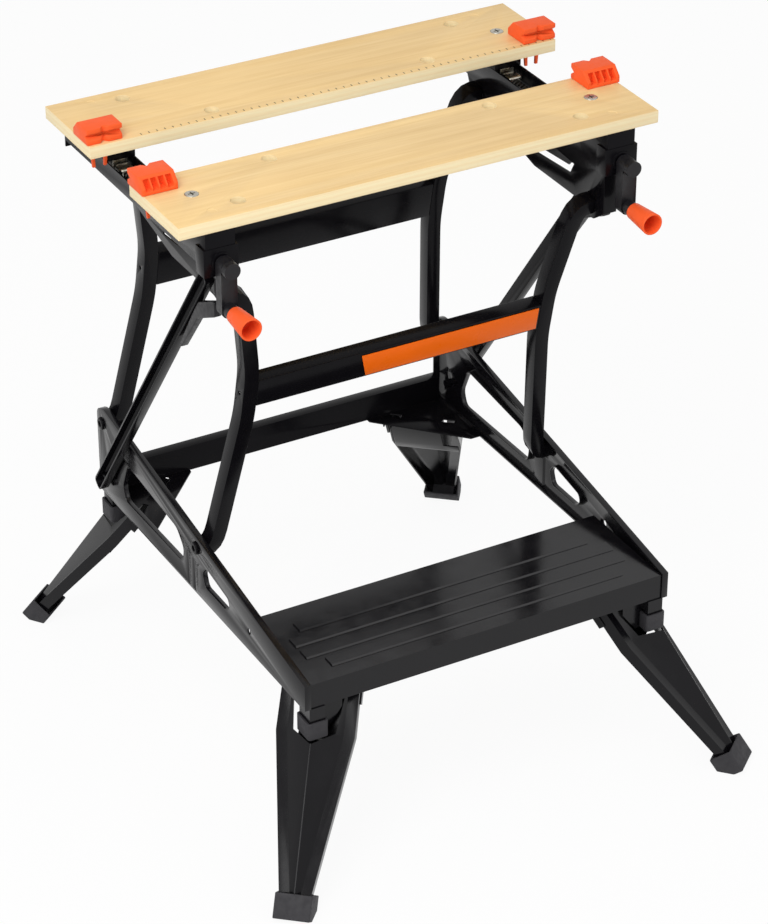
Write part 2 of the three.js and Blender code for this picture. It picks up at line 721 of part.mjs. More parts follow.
function beam() {
  const inner = BEAM_X - BEAM_HALF;
  const outer = BEAM_X + BEAM_HALF;
  const wall = outline([
    [BEAM_FRONT, BEAM_TOP],
    [BEAM_FRONT, FRONT_TOP.z - 4],
    [FRONT_TOP.y - 5, FRONT_TOP.z - 20, 6],
    [FRONT_TOP.y + 18, WALL_BOTTOM, 6],
    [WALL_RISE_FROM, WALL_BOTTOM],
    [REAR_TOP.y - 13, REAR_TOP.z - 14, 8],
    [REAR_TOP.y + 13, REAR_TOP.z - 14, 8],
    [REAR_TOP.y + 26, BEAM_BOTTOM],
    [BEAM_REAR, BEAM_BOTTOM],
    [BEAM_REAR, BEAM_TOP],
  ]);
  const saddleTop = JAW_BOTTOM - GAP;
  const saddleRear = FRONT_JAW_Y + JAW_DEPTH - 4;
  const saddle = cut(
    block([inner, outer], [FRONT_JAW_Y, saddleRear], [BEAM_TOP - 1, saddleTop]),
    block(
      [inner + SHEET, outer - SHEET],
      [FRONT_JAW_Y + SHEET, saddleRear + 1],
      [BEAM_TOP - 2, saddleTop - SHEET],
    ),
  );
  const capRear = BEAM_FRONT + 14;
  const cap = cut(
    block(
      [BEAM_X - BEARING_HALF, BEAM_X + BEARING_HALF],
      [BEARING_FRONT, capRear],
      [BEAM_BOTTOM - 1, BEARING_TOP],
    ),
    block(
      [inner + 1, outer - 1],
      [BEARING_FRONT + SHEET, capRear + 1],
      [BEAM_BOTTOM - 2, BEARING_TOP - SHEET],
    ),
  );
  const bearing = [BEAM_X, SCREW_Z];
  const bossFront = BEARING_FRONT - SHEET;
  const body = join(
    prism('x', wall, inner, inner + SHEET),
    block([outer - SHEET, outer], [BEAM_FRONT, BEAM_REAR], [BEAM_BOTTOM + 8, BEAM_TOP]),
    block([inner, inner + 11], [BEAM_FRONT, BEAM_REAR], [BEAM_BOTTOM, BEAM_BOTTOM + SHEET]),
    block([inner, outer], [BEAM_FRONT, BEAM_FRONT + SHEET], [BEAM_BOTTOM, BEAM_TOP]),
    block([inner, outer], [BEAM_REAR - SHEET, BEAM_REAR], [BEAM_BOTTOM, BEAM_TOP]),
    block([inner, inner + 18], [BEAM_FRONT, BEAM_FRONT + SHEET], [FRONT_TOP.z - 4, BEAM_BOTTOM + 1]),
    rod('y', bearing, BEARING_BOSS, bossFront, BEAM_FRONT + 1),
    cap,
    saddle,
  );
  const hole = BOLT_RADIUS + GAP;
  return cut(
    body,
    rod('y', bearing, SCREW_RADIUS + GAP, bossFront - 1, BEAM_FRONT + SHEET + 1),
    rod('x', [FRONT_TOP.y, FRONT_TOP.z], hole, inner - 1, inner + SHEET + 1),
    rod('x', [REAR_TOP.y, REAR_TOP.z], hole, inner - 1, inner + SHEET + 1),
    prism('x', outline(WALL_SLOT), inner - 1, inner + SHEET + 1),
    rod('z', [BEAM_X, FRONT_JAW_Y + JAW_BOLT_DEPTH], 4 + GAP, saddleTop - SHEET - 1, saddleTop + 1),
  );
}

// Jaws

function jaw(front, rowDepth, backDepth, boltDepth) {
  const half = JAW_LENGTH / 2;
  const board = block([-half, half], [front, front + JAW_DEPTH], [JAW_BOTTOM, TOP_HEIGHT]);
  const drill = (x, depth, radius) => rod('z', [x, front + depth], radius, JAW_BOTTOM - 1, TOP_HEIGHT + 1);
  const holes = [-1, 1].flatMap((side) => [
    drill(side * PEG_X, rowDepth, PEG_RADIUS),
    drill(side * DOG_X, rowDepth, PEG_RADIUS),
    drill(side * PEG_X_BACK, backDepth, PEG_RADIUS),
    drill(side * BEAM_X, boltDepth, 4 + GAP),
    rod('z', [side * BEAM_X, front + boltDepth], 8 + GAP, TOP_HEIGHT - 3 - GAP, TOP_HEIGHT + 1),
  ]);
  return cut(board, ...holes);
}

function jawBolt(y) {
  return join(
    rod('z', [BEAM_X, y], 8, TOP_HEIGHT - 3, TOP_HEIGHT + 0.5),
    rod('z', [BEAM_X, y], 4, JAW_BOTTOM - 10, TOP_HEIGHT - 2, 12),
  );
}

// The slide under the moving jaw, an inverted channel that straddles the beam.
function jawCarrier() {
  const inner = BEAM_X - BEAM_HALF;
  const outer = BEAM_X + BEAM_HALF;
  const front = REAR_JAW_Y + 27;
  const rear = REAR_JAW_Y + JAW_DEPTH - 4;
  const bottom = BEAM_TOP + GAP;
  const top = JAW_BOTTOM - GAP;
  return cut(
    block([inner, outer], [front, rear], [bottom, top]),
    block([inner + SHEET, outer - SHEET], [front + SHEET, rear - SHEET], [bottom - 1, top - SHEET]),
    rod('z', [BEAM_X, REAR_JAW_Y + JAW_BOLT_REAR_DEPTH], 4 + GAP, top - SHEET - 1, top + 1),
  );
}

// The nut hangs from the slide's inside into the beam, and the lead screw runs through it.
function jawNut() {
  const front = REAR_JAW_Y + 27 + SHEET + GAP;
  const top = JAW_BOTTOM - GAP - SHEET - GAP;
  return cut(
    block([BEAM_X - 10, BEAM_X + 10], [front, front + 15], [SCREW_Z - 11, top]),
    rod('y', [BEAM_X, SCREW_Z], SCREW_RADIUS + GAP, front - 1, front + 16),
  );
}

function leadScrew() {
  const front = CRANK_BACK + GAP;
  const collar = BEAM_FRONT + SHEET + GAP;
  const profile = [
    [0, front],
    [SCREW_RADIUS, front],
    [SCREW_RADIUS, collar],
    [SCREW_RADIUS + 3, collar],
    [SCREW_RADIUS + 3, collar + 5],
    [SCREW_RADIUS, collar + 5],
    [SCREW_RADIUS, SCREW_REAR],
    [0, SCREW_REAR],
  ];
  return turned('y', [BEAM_X, SCREW_Z], profile);
}

// The crank: an arm that hangs down from the screw, with a hub, a boss for the grip and its spindle.
function crank() {
  const low = SCREW_Z - CRANK_DROP;
  const left = BEAM_X - CRANK_HALF;
  const right = BEAM_X + CRANK_HALF;
  const arm = outline([
    [left, low - CRANK_HALF, 8],
    [right, low - CRANK_HALF, 8],
    [right, SCREW_Z + CRANK_HALF, 9],
    [left, SCREW_Z + CRANK_HALF, 9],
  ]);
  return join(
    prism('y', arm, CRANK_FRONT, CRANK_BACK),
    rod('y', [BEAM_X, SCREW_Z], CRANK_HALF, CRANK_FRONT - 9, CRANK_FRONT + 1),
    rod('y', [BEAM_X, low], CRANK_HALF - 1, GRIP_BACK, CRANK_FRONT + 1),
    rod('y', [BEAM_X, low], 4.5, GRIP_BACK - SPINDLE_LENGTH, GRIP_BACK + 1),
  );
}

// The grip: a tapered sleeve that turns on the crank's spindle, hollow at its free end.
function grip() {
  const back = GRIP_BACK - GAP;
  const floor = GRIP_BACK - SPINDLE_LENGTH + 2;
  const profile = [
    [5, floor],
    [10.5, floor],
    [11, GRIP_FRONT],
    [13.3, GRIP_FRONT],
    [13.3, GRIP_FRONT + 4],
    [10, back],
    [5, back],
    [5, floor],
  ];
  return turned('y', [BEAM_X, SCREW_Z - CRANK_DROP], profile);
}

// A clamping peg: a post with two snap prongs under a head with a groove and a notch on its clamping
// side (+Y) and a slope with open pockets behind.
function dog() {
  const foot = TOP_HEIGHT + GAP;
  const crown = foot + DOG_HEIGHT;
  const middle = foot + DOG_HEIGHT / 2;
  const prongTop = JAW_BOTTOM - 2 * GAP;
  const side = outline([
    [-DOG_DEPTH, foot],
    [DOG_DEPTH, foot],
    [DOG_DEPTH, middle - 4],
    [DOG_DEPTH - 6, middle],
    [DOG_DEPTH, middle + 4],
    [DOG_DEPTH, crown, 2],
    [-8, crown, 2],
    [-DOG_DEPTH, foot + 8, 2],
  ]);
  const notch = outline([[-5, DOG_DEPTH + 1], [0, DOG_DEPTH - 5], [5, DOG_DEPTH + 1]]);
  const pockets = DOG_POCKETS.map((x) => {
    return block([x - 3.5, x + 3.5], [-DOG_DEPTH - 1, -7], [foot + 4, crown - 3]);
  });
  return cut(
    join(
      prism('x', side, -DOG_HALF, DOG_HALF),
      rod('z', [0, 0], PEG_RADIUS - 0.5, prongTop - 1, foot + 1),
      block([-PRONG_TO, PRONG_TO], [-PRONG_HALF, PRONG_HALF], [JAW_BOTTOM - PRONG_DROP, prongTop]),
    ),
    prism('z', notch, foot - 1, crown + 1),
    ...pockets,
    block([-PRONG_FROM, PRONG_FROM], [-12, 12], [JAW_BOTTOM - PRONG_DROP - 1, JAW_BOTTOM + 4]),
  );
}

function addTop() {
  for (const [side, sign] of Object.entries(SIDES)) {
    const half = sideGroup(sign);
    addMesh(half, `beam_${side}`, beam(), blackSteel);
    addMesh(half, `jaw_carrier_${side}`, jawCarrier(), blackSteel);
    addMesh(half, `jaw_nut_${side}`, jawNut(), zinc);
    addMesh(half, `lead_screw_${side}`, leadScrew(), zinc);
    addMesh(half, `crank_${side}`, crank(), blackPlastic);
    addMesh(half, `grip_${side}`, grip(), orangePlastic);
    addMesh(half, `jaw_bolt_front_${side}`, jawBolt(FRONT_JAW_Y + JAW_BOLT_DEPTH), zinc);
    addMesh(half, `jaw_bolt_rear_${side}`, jawBolt(REAR_JAW_Y + JAW_BOLT_REAR_DEPTH), zinc);
  }
  const rearRow = JAW_DEPTH - PEG_ROW + 4;
  addMesh(bench, 'front_jaw', jaw(FRONT_JAW_Y, PEG_ROW, PEG_ROW_BACK, JAW_BOLT_DEPTH), wood);
  addMesh(bench, 'rear_jaw', jaw(REAR_JAW_Y, rearRow, 100, JAW_BOLT_REAR_DEPTH), wood);
  for (const [corner, [x, y]] of Object.entries(CORNERS)) {
    const peg = new THREE.Group();
    peg.position.set(x * DOG_X, y < 0 ? FRONT_JAW_Y + PEG_ROW : REAR_JAW_Y + rearRow, 0);
    peg.rotation.z = y < 0 ? 0 : Math.PI;
    bench.add(peg);
    addMesh(peg, `dog_${corner}`, dog(), orangePlastic);
  }
}

addBase();
addFrames();
addStruts();
addTop();

export default bench;
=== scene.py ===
"""Finishes the folding workbench: its boards, pegs, cranks, pressed steel and rubber feet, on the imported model."""

import json
from math import cos, pi, radians, sin

import bpy
from bpy.props import FloatProperty, FloatVectorProperty, IntProperty, PointerProperty
from bpy.types import Operator, Panel, PropertyGroup
from mathutils import Matrix, Vector


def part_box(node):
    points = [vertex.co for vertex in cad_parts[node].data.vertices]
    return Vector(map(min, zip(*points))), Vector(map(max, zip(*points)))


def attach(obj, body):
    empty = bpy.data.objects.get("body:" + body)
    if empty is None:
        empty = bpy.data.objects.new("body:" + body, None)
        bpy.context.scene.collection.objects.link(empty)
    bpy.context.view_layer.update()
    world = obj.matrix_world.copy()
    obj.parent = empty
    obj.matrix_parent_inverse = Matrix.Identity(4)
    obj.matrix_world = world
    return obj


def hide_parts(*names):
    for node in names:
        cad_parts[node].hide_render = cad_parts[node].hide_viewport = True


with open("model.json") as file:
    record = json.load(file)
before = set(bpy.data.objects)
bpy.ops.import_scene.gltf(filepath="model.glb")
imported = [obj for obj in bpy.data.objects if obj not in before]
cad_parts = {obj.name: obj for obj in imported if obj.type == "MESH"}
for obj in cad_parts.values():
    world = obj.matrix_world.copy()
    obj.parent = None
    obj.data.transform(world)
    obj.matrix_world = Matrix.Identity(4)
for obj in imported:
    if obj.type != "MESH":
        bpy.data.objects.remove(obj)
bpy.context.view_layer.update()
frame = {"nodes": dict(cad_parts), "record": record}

bl_info = {
    "name": "Folding workbench",
    "version": (1, 0, 0),
    "blender": (4, 5, 0),
    "location": "View3D > Sidebar > Workbench",
    "description": "Builds a folding workbench with wooden vice jaws, pegs, cranks and pressed steel legs",
    "category": "Object",
}

# Sizes below are in millimetres and are turned to metres where Blender takes them.
MM = 0.001
SIDES = {"left": -1, "right": 1}
CORNERS = {"front_left": (-1, -1), "front_right": (1, -1), "rear_left": (-1, 1), "rear_right": (1, 1)}
BODY_OF = {node: body for body, nodes in frame["record"]["behaviour"]["bodies"].items() for node in nodes}
FRAME_LEAN = radians(12.626)
BEAM_X = 256.0
SCREW_Z = 721.0
GRIP_Z = 670.0
STEP_RIBS = ((-244, 195), (-218, 214), (-192, 214), (-165, 195))
RIB_HALF = 5.0
RIB_RISE = 2.0
CREASE_WIDTH = 3.0
CREASE_DEPTH = 1.2
LEG_HINGE = (190.0, 222.0, 210.0)
LEG_HEADING = radians(50)
LEG_TILT = radians(36)


def linear(code):
    """A colour written as sRGB hex, as the linear values that Blender works in."""
    channels = [int(code[i:i + 2], 16) / 255 for i in (1, 3, 5)]
    return [c / 12.92 if c <= 0.04045 else ((c + 0.055) / 1.055) ** 2.4 for c in channels]


def colour_property(name, description, code):
    return FloatVectorProperty(
        name=name, description=description, default=linear(code), subtype="COLOR", size=3, min=0, max=1
    )


def size_property(name, description, millimetres):
    return FloatProperty(
        name=name, description=description, default=millimetres * MM, unit="LENGTH", min=0, precision=4
    )


class WorkbenchColours(PropertyGroup):
    """The colours of the bench's finishes."""

    steel: colour_property("Steel", "Black enamel on the pressed steel", "#0d0c0f")
    wood: colour_property("Wood", "Middle tone of the boards' faces", "#efcf96")
    wood_dark: colour_property("Dark grain", "Tone of the darker grain", "#d9b06f")
    # Partly painted light: this edge tone is paler than the wood and stands for light on the edges.
    wood_edge_with_light: colour_property("Board edge", "Tone of the boards' sawn edges", "#f8e7bd")
    ink: colour_property("Scale ink", "Ink of the printed scale", "#33291d")
    orange: colour_property("Orange plastic", "Pegs and grips", "#f9612f")
    plate: colour_property("Orange plate", "Paint of the plate on the crossbar", "#f36a0e")
    plastic: colour_property("Black plastic", "Cranks and latches", "#161518")
    rubber: colour_property("Rubber", "Shoes and caps", "#2f2e31")
    oiled: colour_property("Oiled steel", "Blackened steel of the lead screws", "#2b2927")
    zinc: colour_property("Zinc", "Plating of screws and nuts", "#bdb9ae")


class WorkbenchSizes(PropertyGroup):
    """The sizes that the finish adds to the solids."""

    fold: size_property("Sheet edge", "Rounding of the folded sheet's edges", 0.7)
    pressed: size_property("Pressed edge", "Rounding of the step's pressed ribs", 0.25)
    ridge: size_property("Leg ridge", "Rounding of the fold along each leg's ridge", 2.0)
    moulded: size_property("Moulded edge", "Rounding of the moulded plastic's edges", 1.2)
    rubber: size_property("Rubber edge", "Rounding of the rubber shoes and caps", 1.6)
    board: size_property("Board edge", "Rounding of the boards' edges", 1.2)
    peg_hole: size_property("Peg hole", "Radius of the peg holes", 9.0)
    thread_pitch: size_property("Thread pitch", "Pitch of the lead screws", 6.2)
    tick: size_property("Scale step", "Distance between the scale's marks", 10.0)
    sides: IntProperty(name="Round sides", description="Sides of round pieces", default=48, min=16, max=128)


# Modelling: the acts that every piece is made with


def only(piece):
    """Makes a piece the one that is selected and active."""
    bpy.ops.object.select_all(action="DESELECT")
    piece.select_set(True)
    bpy.context.view_layer.objects.active = piece
    return piece


def placed(name):
    """Names the primitive just added and puts its place and turn into its mesh."""
    piece = bpy.context.object
    piece.name = name
    piece.data.name = name
    bpy.ops.object.transform_apply(location=True, rotation=True, scale=True)
    return piece


def block(name, low, high):
    """A box between two corners."""
    bpy.ops.object.select_all(action="DESELECT")
    low, high = Vector(low) * MM, Vector(high) * MM
    bpy.ops.mesh.primitive_cube_add(size=1, location=(low + high) / 2, scale=high - low)
    return placed(name)


def rod(name, axis, start, length, radius, sides):
    """A round rod from a start point along X, Y or Z."""
    bpy.ops.object.select_all(action="DESELECT")
    turn = {"X": (0, pi / 2, 0), "Y": (-pi / 2, 0, 0), "Z": (0, 0, 0)}[axis]
    middle = Vector(start)
    middle["XYZ".index(axis)] += length / 2
    bpy.ops.mesh.primitive_cylinder_add(
        vertices=sides, radius=radius * MM, depth=abs(length) * MM, location=middle * MM, rotation=turn
    )
    return placed(name)


def pick(piece, kind, test):
    """Goes to edit mode with only those faces or vertices selected that pass a test on their place in mm."""
    only(piece)
    bpy.ops.object.mode_set(mode="EDIT")
    bpy.ops.mesh.select_mode(type=kind)
    bpy.ops.mesh.select_all(action="DESELECT")
    bpy.ops.object.mode_set(mode="OBJECT")
    if kind == "FACE":
        for face in piece.data.polygons:
            face.select = test(face.center / MM, face.normal)
    elif kind == "EDGE":
        points = piece.data.vertices
        for edge in piece.data.edges:
            a, b = (points[i].co / MM for i in edge.vertices)
            edge.select = test((a + b) / 2, (b - a).normalized())
    else:
        for point in piece.data.vertices:
            point.select = test(point.co / MM, point.normal)
    bpy.ops.object.mode_set(mode="EDIT")


def done():
    """Leaves edit mode."""
    bpy.ops.object.mode_set(mode="OBJECT")


def apply_modifier(piece, kind, **settings):
    """Adds a modifier with its settings and applies it."""
    only(piece)
    modifier = piece.modifiers.new(kind.lower(), kind)
    for key, value in settings.items():
        setattr(modifier, key, value)
    bpy.ops.object.modifier_apply(modifier=modifier.name)
    return piece


def carve(piece, *cutters, operation="DIFFERENCE"):
    """Cuts the cutters out of a piece, or joins them to it, and clears them away."""
    for cutter in cutters:
        apply_modifier(piece, "BOOLEAN", operation=operation, solver="EXACT", object=cutter)
        bpy.data.objects.remove(cutter)
    return piece


def fuse(piece, *additions):
    """Joins solids to a piece."""
    return carve(piece, *additions, operation="UNION")


def soften(piece, width, segments=2, angle=30):
    """Rounds the edges that are sharper than an angle; the width is in metres."""
    return apply_modifier(
        piece, "BEVEL", width=width, segments=segments, limit_method="ANGLE", angle_limit=radians(angle)
    )


def from_node(node, name):
    """A copy of a solid, its loose triangles merged into whole faces, to be worked on."""
    piece = bpy.data.objects.new(name, frame["nodes"][node].data.copy())
    bpy.context.scene.collection.objects.link(piece)
    only(piece)
    bpy.ops.object.mode_set(mode="EDIT")
    bpy.ops.mesh.select_all(action="SELECT")
    bpy.ops.mesh.remove_doubles(threshold=0.00001)
    bpy.ops.mesh.customdata_custom_splitnormals_clear()
    bpy.ops.mesh.dissolve_limited(angle_limit=radians(0.5))
    done()
    return piece


def copied(piece, name, matrix):
    """A copy of a piece with a mesh of its own, moved by a matrix; a mirrored copy is turned right side out."""
    copy = bpy.data.objects.new(name, piece.data.copy())
    bpy.context.scene.collection.objects.link(copy)
    copy.data.transform(matrix)
    if matrix.determinant() < 0:
        only(copy)
        bpy.ops.object.mode_set(mode="EDIT")
        bpy.ops.mesh.select_all(action="SELECT")
        bpy.ops.mesh.flip_normals()
        done()
    return copy


def settle(piece, material, node, stands_for=True, angle=35):
    """Gives a finished piece its material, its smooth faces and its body."""
    only(piece)
    bpy.ops.object.shade_smooth_by_angle(angle=radians(angle))
    piece.data.materials.clear()
    piece.data.materials.append(material)
    if stands_for:
        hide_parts(node)
    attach(piece, BODY_OF[node])
    return piece


def node_box(node):
    """A solid's lowest and highest corner in mm."""
    low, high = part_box(node)
    return low / MM, high / MM


# Materials


def add_node(tree, kind, values=None, links=None, **settings):
    """Adds a node with its settings, its socket values and its links."""
    node = tree.nodes.new(kind)
    for key, value in settings.items():
        setattr(node, key, value)
    for key, value in (values or {}).items():
        node.inputs[key].default_value = value
    for key, source in (links or {}).items():
        tree.links.new(source, node.inputs[key])
    return node


def new_material(name, **constants):
    """A material on the principled shader with its constant sockets set, and the object coordinates."""
    found = bpy.data.materials.get(name)
    if found:
        return found, None, None, None
    material = bpy.data.materials.new(name)
    material.use_nodes = True
    tree = material.node_tree
    shader = tree.nodes["Principled BSDF"]
    for key, value in constants.items():
        shader.inputs[key.replace("_", " ").title().replace("Ior", "IOR")].default_value = value
    coordinates = add_node(tree, "ShaderNodeTexCoord")
    return material, tree, shader, coordinates


def per_metre(millimetres):
    """The noise scale whose cells have about this size."""
    return 1 / (millimetres * MM)


def speckle(tree, place, size, detail=2.0, stretch=None):
    """Noise with cells of a size in mm, drawn out by a factor along each axis where asked."""
    source = place
    if stretch:
        source = add_node(
            tree, "ShaderNodeMapping", {"Scale": [1 / s for s in stretch]}, {"Vector": place}
        ).outputs["Vector"]
    return add_node(
        tree, "ShaderNodeTexNoise", {"Scale": per_metre(size), "Detail": detail}, {"Vector": source}
    ).outputs["Fac"]


def between(tree, factor, low, high, span=(0.3, 0.7)):
    """A value from low to high as a factor crosses a span."""
    return add_node(
        tree,
        "ShaderNodeMapRange",
        {"From Min": span[0], "From Max": span[1], "To Min": low, "To Max": high},
        {"Value": factor},
    ).outputs["Result"]


def mixed(tree, factor, first, second, blend="MIX"):
    """Two colours, or colour outputs, mixed by a factor."""
    node = add_node(tree, "ShaderNodeMix", data_type="RGBA", blend_type=blend)
    for index, source in ((0, factor), (6, first), (7, second)):
        if isinstance(source, bpy.types.NodeSocket):
            tree.links.new(source, node.inputs[index])
        else:
            node.inputs[index].default_value = source if index == 0 else [*source, 1]
    return node.outputs[2]


def math_node(tree, operation, first, second=0.0):
    """One sum of two values or outputs."""
    node = add_node(tree, "ShaderNodeMath", operation=operation)
    for index, source in enumerate((first, second)):
        if isinstance(source, bpy.types.NodeSocket):
            tree.links.new(source, node.inputs[index])
        else:
            node.inputs[index].default_value = source
    return node.outputs[0]


def bumped(tree, shader, height, strength, depth):
    """Raises the surface by a height pattern of a depth in mm."""
    bump = add_node(tree, "ShaderNodeBump", {"Strength": strength, "Distance": depth * MM}, {"Height": height})
    tree.links.new(bump.outputs["Normal"], shader.inputs["Normal"])


def scaled(colour, factor):
    return [min(1.0, c * factor) for c in colour]


def black_enamel(colours, shade_copy="base"):
    """Sprayed enamel on steel: black, half gloss, with faint orange peel. One enamel in three copies: the leg and
    frame copies reflect less, as painted shade that darkens those parts.
    """
    # Painted shade: the leg and frame copies reflect less, which darkens them as shade would.
    gloss = {"base": 0.28, "leg": 0.18, "frame": 0.08}[shade_copy]
    material, tree, shader, coordinates = new_material(f"black_enamel_on_{shade_copy}_steel", specular_ior_level=gloss)
    if tree:
        place = coordinates.outputs["Object"]
        clouds = speckle(tree, place, 60, 3)
        tone = mixed(tree, clouds, scaled(colours.steel, 0.8), scaled(colours.steel, 1.35))
        tree.links.new(tone, shader.inputs["Base Color"])
        handled = speckle(tree, place, 22, 4)
        tree.links.new(between(tree, handled, 0.14, 0.22), shader.inputs["Roughness"])
        bumped(tree, shader, speckle(tree, place, 2.2, 1), 0.04, 0.3)
    return material


def laminated_wood(colours, sizes, scale_marks):
    """Sealed light laminate: long fine grain, strips of slightly different tone, and paler edges whose paleness is
    partly painted light.
    """
    name = "sealed_laminated_wood_with_scale" if scale_marks else "sealed_laminated_wood"
    material, tree, shader, coordinates = new_material(name, specular_ior_level=0.3)
    if not tree:
        return material
    place = coordinates.outputs["Object"]
    axes = add_node(tree, "ShaderNodeSeparateXYZ", links={"Vector": place}).outputs
    # Grain runs along the board: cells about 1.3 mm wide and some 70 mm long, so that it shows in the picture.
    fine = speckle(tree, place, 1.3, 4, stretch=(55, 1, 1))
    broad = speckle(tree, place, 9, 3, stretch=(26, 1, 1))
    clouds = speckle(tree, place, 70, 2, stretch=(2.2, 1, 1))
    strip = add_node(
        tree,
        "ShaderNodeTexWhiteNoise",
        links={"W": math_node(tree, "FLOOR", math_node(tree, "MULTIPLY", axes["Y"], per_metre(21)))},
        noise_dimensions="1D",
    ).outputs["Value"]
    tone = mixed(tree, between(tree, broad, 0.0, 0.5), scaled(colours.wood, 1.05), colours.wood_dark)
    tone = mixed(tree, between(tree, fine, 0.0, 0.3, (0.45, 0.75)), tone, scaled(colours.wood_dark, 0.86))
    tone = mixed(tree, between(tree, clouds, 0.0, 0.5), tone, scaled(colours.wood, 1.12))
    tone = mixed(tree, between(tree, strip, 0.0, 0.14, (0, 1)), tone, colours.wood_dark)
    # Faces that don't face up, the edges and hole walls, take a paler tone with thin plies: the plies are the
    # board's own, the paler tone is partly painted light.
    facing = add_node(tree, "ShaderNodeSeparateXYZ", links={"Vector": coordinates.outputs["Normal"]}).outputs["Z"]
    level = between(tree, math_node(tree, "ABSOLUTE", facing), 1.0, 0.0, (0.35, 0.75))
    plies = add_node(
        tree, "ShaderNodeTexWave", {"Scale": per_metre(3.2) / 20 * pi, "Distortion": 0.8, "Detail": 2.0},
        {"Vector": place}, bands_direction="Z",
    ).outputs["Fac"]
    edge = mixed(tree, between(tree, plies, 0.0, 0.28, (0.1, 0.9)), colours.wood_edge_with_light, colours.wood)
    edge = mixed(tree, between(tree, fine, 0.0, 0.25, (0.5, 0.8)), edge, colours.wood_dark)
    tone = mixed(tree, level, tone, edge)
    if scale_marks:
        step = sizes.tick
        along = math_node(tree, "PINGPONG", axes["X"], step / 2)
        mark = math_node(tree, "LESS_THAN", along, 0.7 * MM)
        near = math_node(tree, "GREATER_THAN", axes["Y"], 109.4 * MM)
        far = math_node(tree, "LESS_THAN", axes["Y"], 113.6 * MM)
        left = math_node(tree, "GREATER_THAN", axes["X"], -246 * MM)
        band = math_node(tree, "MULTIPLY", math_node(tree, "MULTIPLY", near, far), left)
        top = math_node(tree, "GREATER_THAN", facing, 0.9)
        inked = math_node(tree, "MULTIPLY", math_node(tree, "MULTIPLY", band, mark), top)
        tone = mixed(tree, math_node(tree, "MULTIPLY", inked, 0.85), tone, colours.ink)
    tree.links.new(tone, shader.inputs["Base Color"])
    tree.links.new(between(tree, fine, 0.42, 0.58), shader.inputs["Roughness"])
    bumped(tree, shader, fine, 0.12, 0.15)
    return material


def orange_plastic(colours):
    """Moulded ABS: bright and even, with a fine mould grain that breaks up the gloss."""
    material, tree, shader, coordinates = new_material("orange_moulded_abs", specular_ior_level=0.12)
    if tree:
        place = coordinates.outputs["Object"]
        flow = speckle(tree, place, 14, 2)
        tone = mixed(tree, flow, scaled(colours.orange, 0.94), scaled(colours.orange, 1.06))
        tree.links.new(tone, shader.inputs["Base Color"])
        tree.links.new(between(tree, speckle(tree, place, 6, 3), 0.38, 0.52), shader.inputs["Roughness"])
        bumped(tree, shader, speckle(tree, place, 0.8, 2), 0.06, 0.1)
    return material


def orange_paint(colours):
    """Gloss paint on thin sheet: a flat warm orange with a clean shine."""
    material, tree, shader, coordinates = new_material("orange_gloss_paint", specular_ior_level=0.12)
    if tree:
        place = coordinates.outputs["Object"]
        tone = mixed(tree, speckle(tree, place, 40, 2), scaled(colours.plate, 0.95), scaled(colours.plate, 1.05))
        tree.links.new(tone, shader.inputs["Base Color"])
        tree.links.new(between(tree, speckle(tree, place, 12, 2), 0.26, 0.36), shader.inputs["Roughness"])
        bumped(tree, shader, speckle(tree, place, 2.0, 1), 0.03, 0.2)
    return material


def black_nylon(colours):
    """Glass-filled nylon: greyer than the enamel, with a fine spark-eroded grain."""
    material, tree, shader, coordinates = new_material("black_moulded_nylon", specular_ior_level=0.3)
    if tree:
        place = coordinates.outputs["Object"]
        tone = mixed(tree, speckle(tree, place, 18, 3), scaled(colours.plastic, 0.85), scaled(colours.plastic, 1.3))
        tree.links.new(tone, shader.inputs["Base Color"])
        tree.links.new(between(tree, speckle(tree, place, 5, 3), 0.34, 0.5), shader.inputs["Roughness"])
        bumped(tree, shader, speckle(tree, place, 0.9, 2), 0.12, 0.12)
    return material


def foot_rubber(colours):
    """Moulded rubber: dark grey and matt, a little dusty."""
    material, tree, shader, coordinates = new_material("grey_moulded_rubber", specular_ior_level=0.35)
    if tree:
        place = coordinates.outputs["Object"]
        tone = mixed(tree, speckle(tree, place, 16, 4), scaled(colours.rubber, 0.85), scaled(colours.rubber, 1.3))
        tree.links.new(tone, shader.inputs["Base Color"])
        tree.links.new(between(tree, speckle(tree, place, 7, 3), 0.55, 0.75), shader.inputs["Roughness"])
        bumped(tree, shader, speckle(tree, place, 1.0, 2), 0.15, 0.15)
    return material


def oiled_steel(colours):
    """Blackened, oiled steel: a dark metal that only shines along the crests of a thread."""
    material, tree, shader, coordinates = new_material("oiled_black_steel", metallic=1.0)
    if tree:
        place = coordinates.outputs["Object"]
        tone = mixed(tree, speckle(tree, place, 7, 3), scaled(colours.oiled, 0.7), scaled(colours.oiled, 1.3))
        tree.links.new(tone, shader.inputs["Base Color"])
        tree.links.new(between(tree, speckle(tree, place, 4, 3), 0.3, 0.5), shader.inputs["Roughness"])
        bumped(tree, shader, speckle(tree, place, 0.7, 1), 0.08, 0.08)
    return material


def zinc_plate(colours):
    """Bright zinc plating on turned steel: a warm grey metal with fine streaks from the tool."""
    material, tree, shader, coordinates = new_material("zinc_plated_steel", metallic=1.0)
    if tree:
        place = coordinates.outputs["Object"]
        tone = mixed(tree, speckle(tree, place, 9, 3), scaled(colours.zinc, 0.7), colours.zinc)
        tree.links.new(tone, shader.inputs["Base Color"])
        tree.links.new(between(tree, speckle(tree, place, 4, 3), 0.22, 0.42), shader.inputs["Roughness"])
        bumped(tree, shader, speckle(tree, place, 0.7, 1, stretch=(1, 8, 1)), 0.08, 0.08)
    return material


# Top


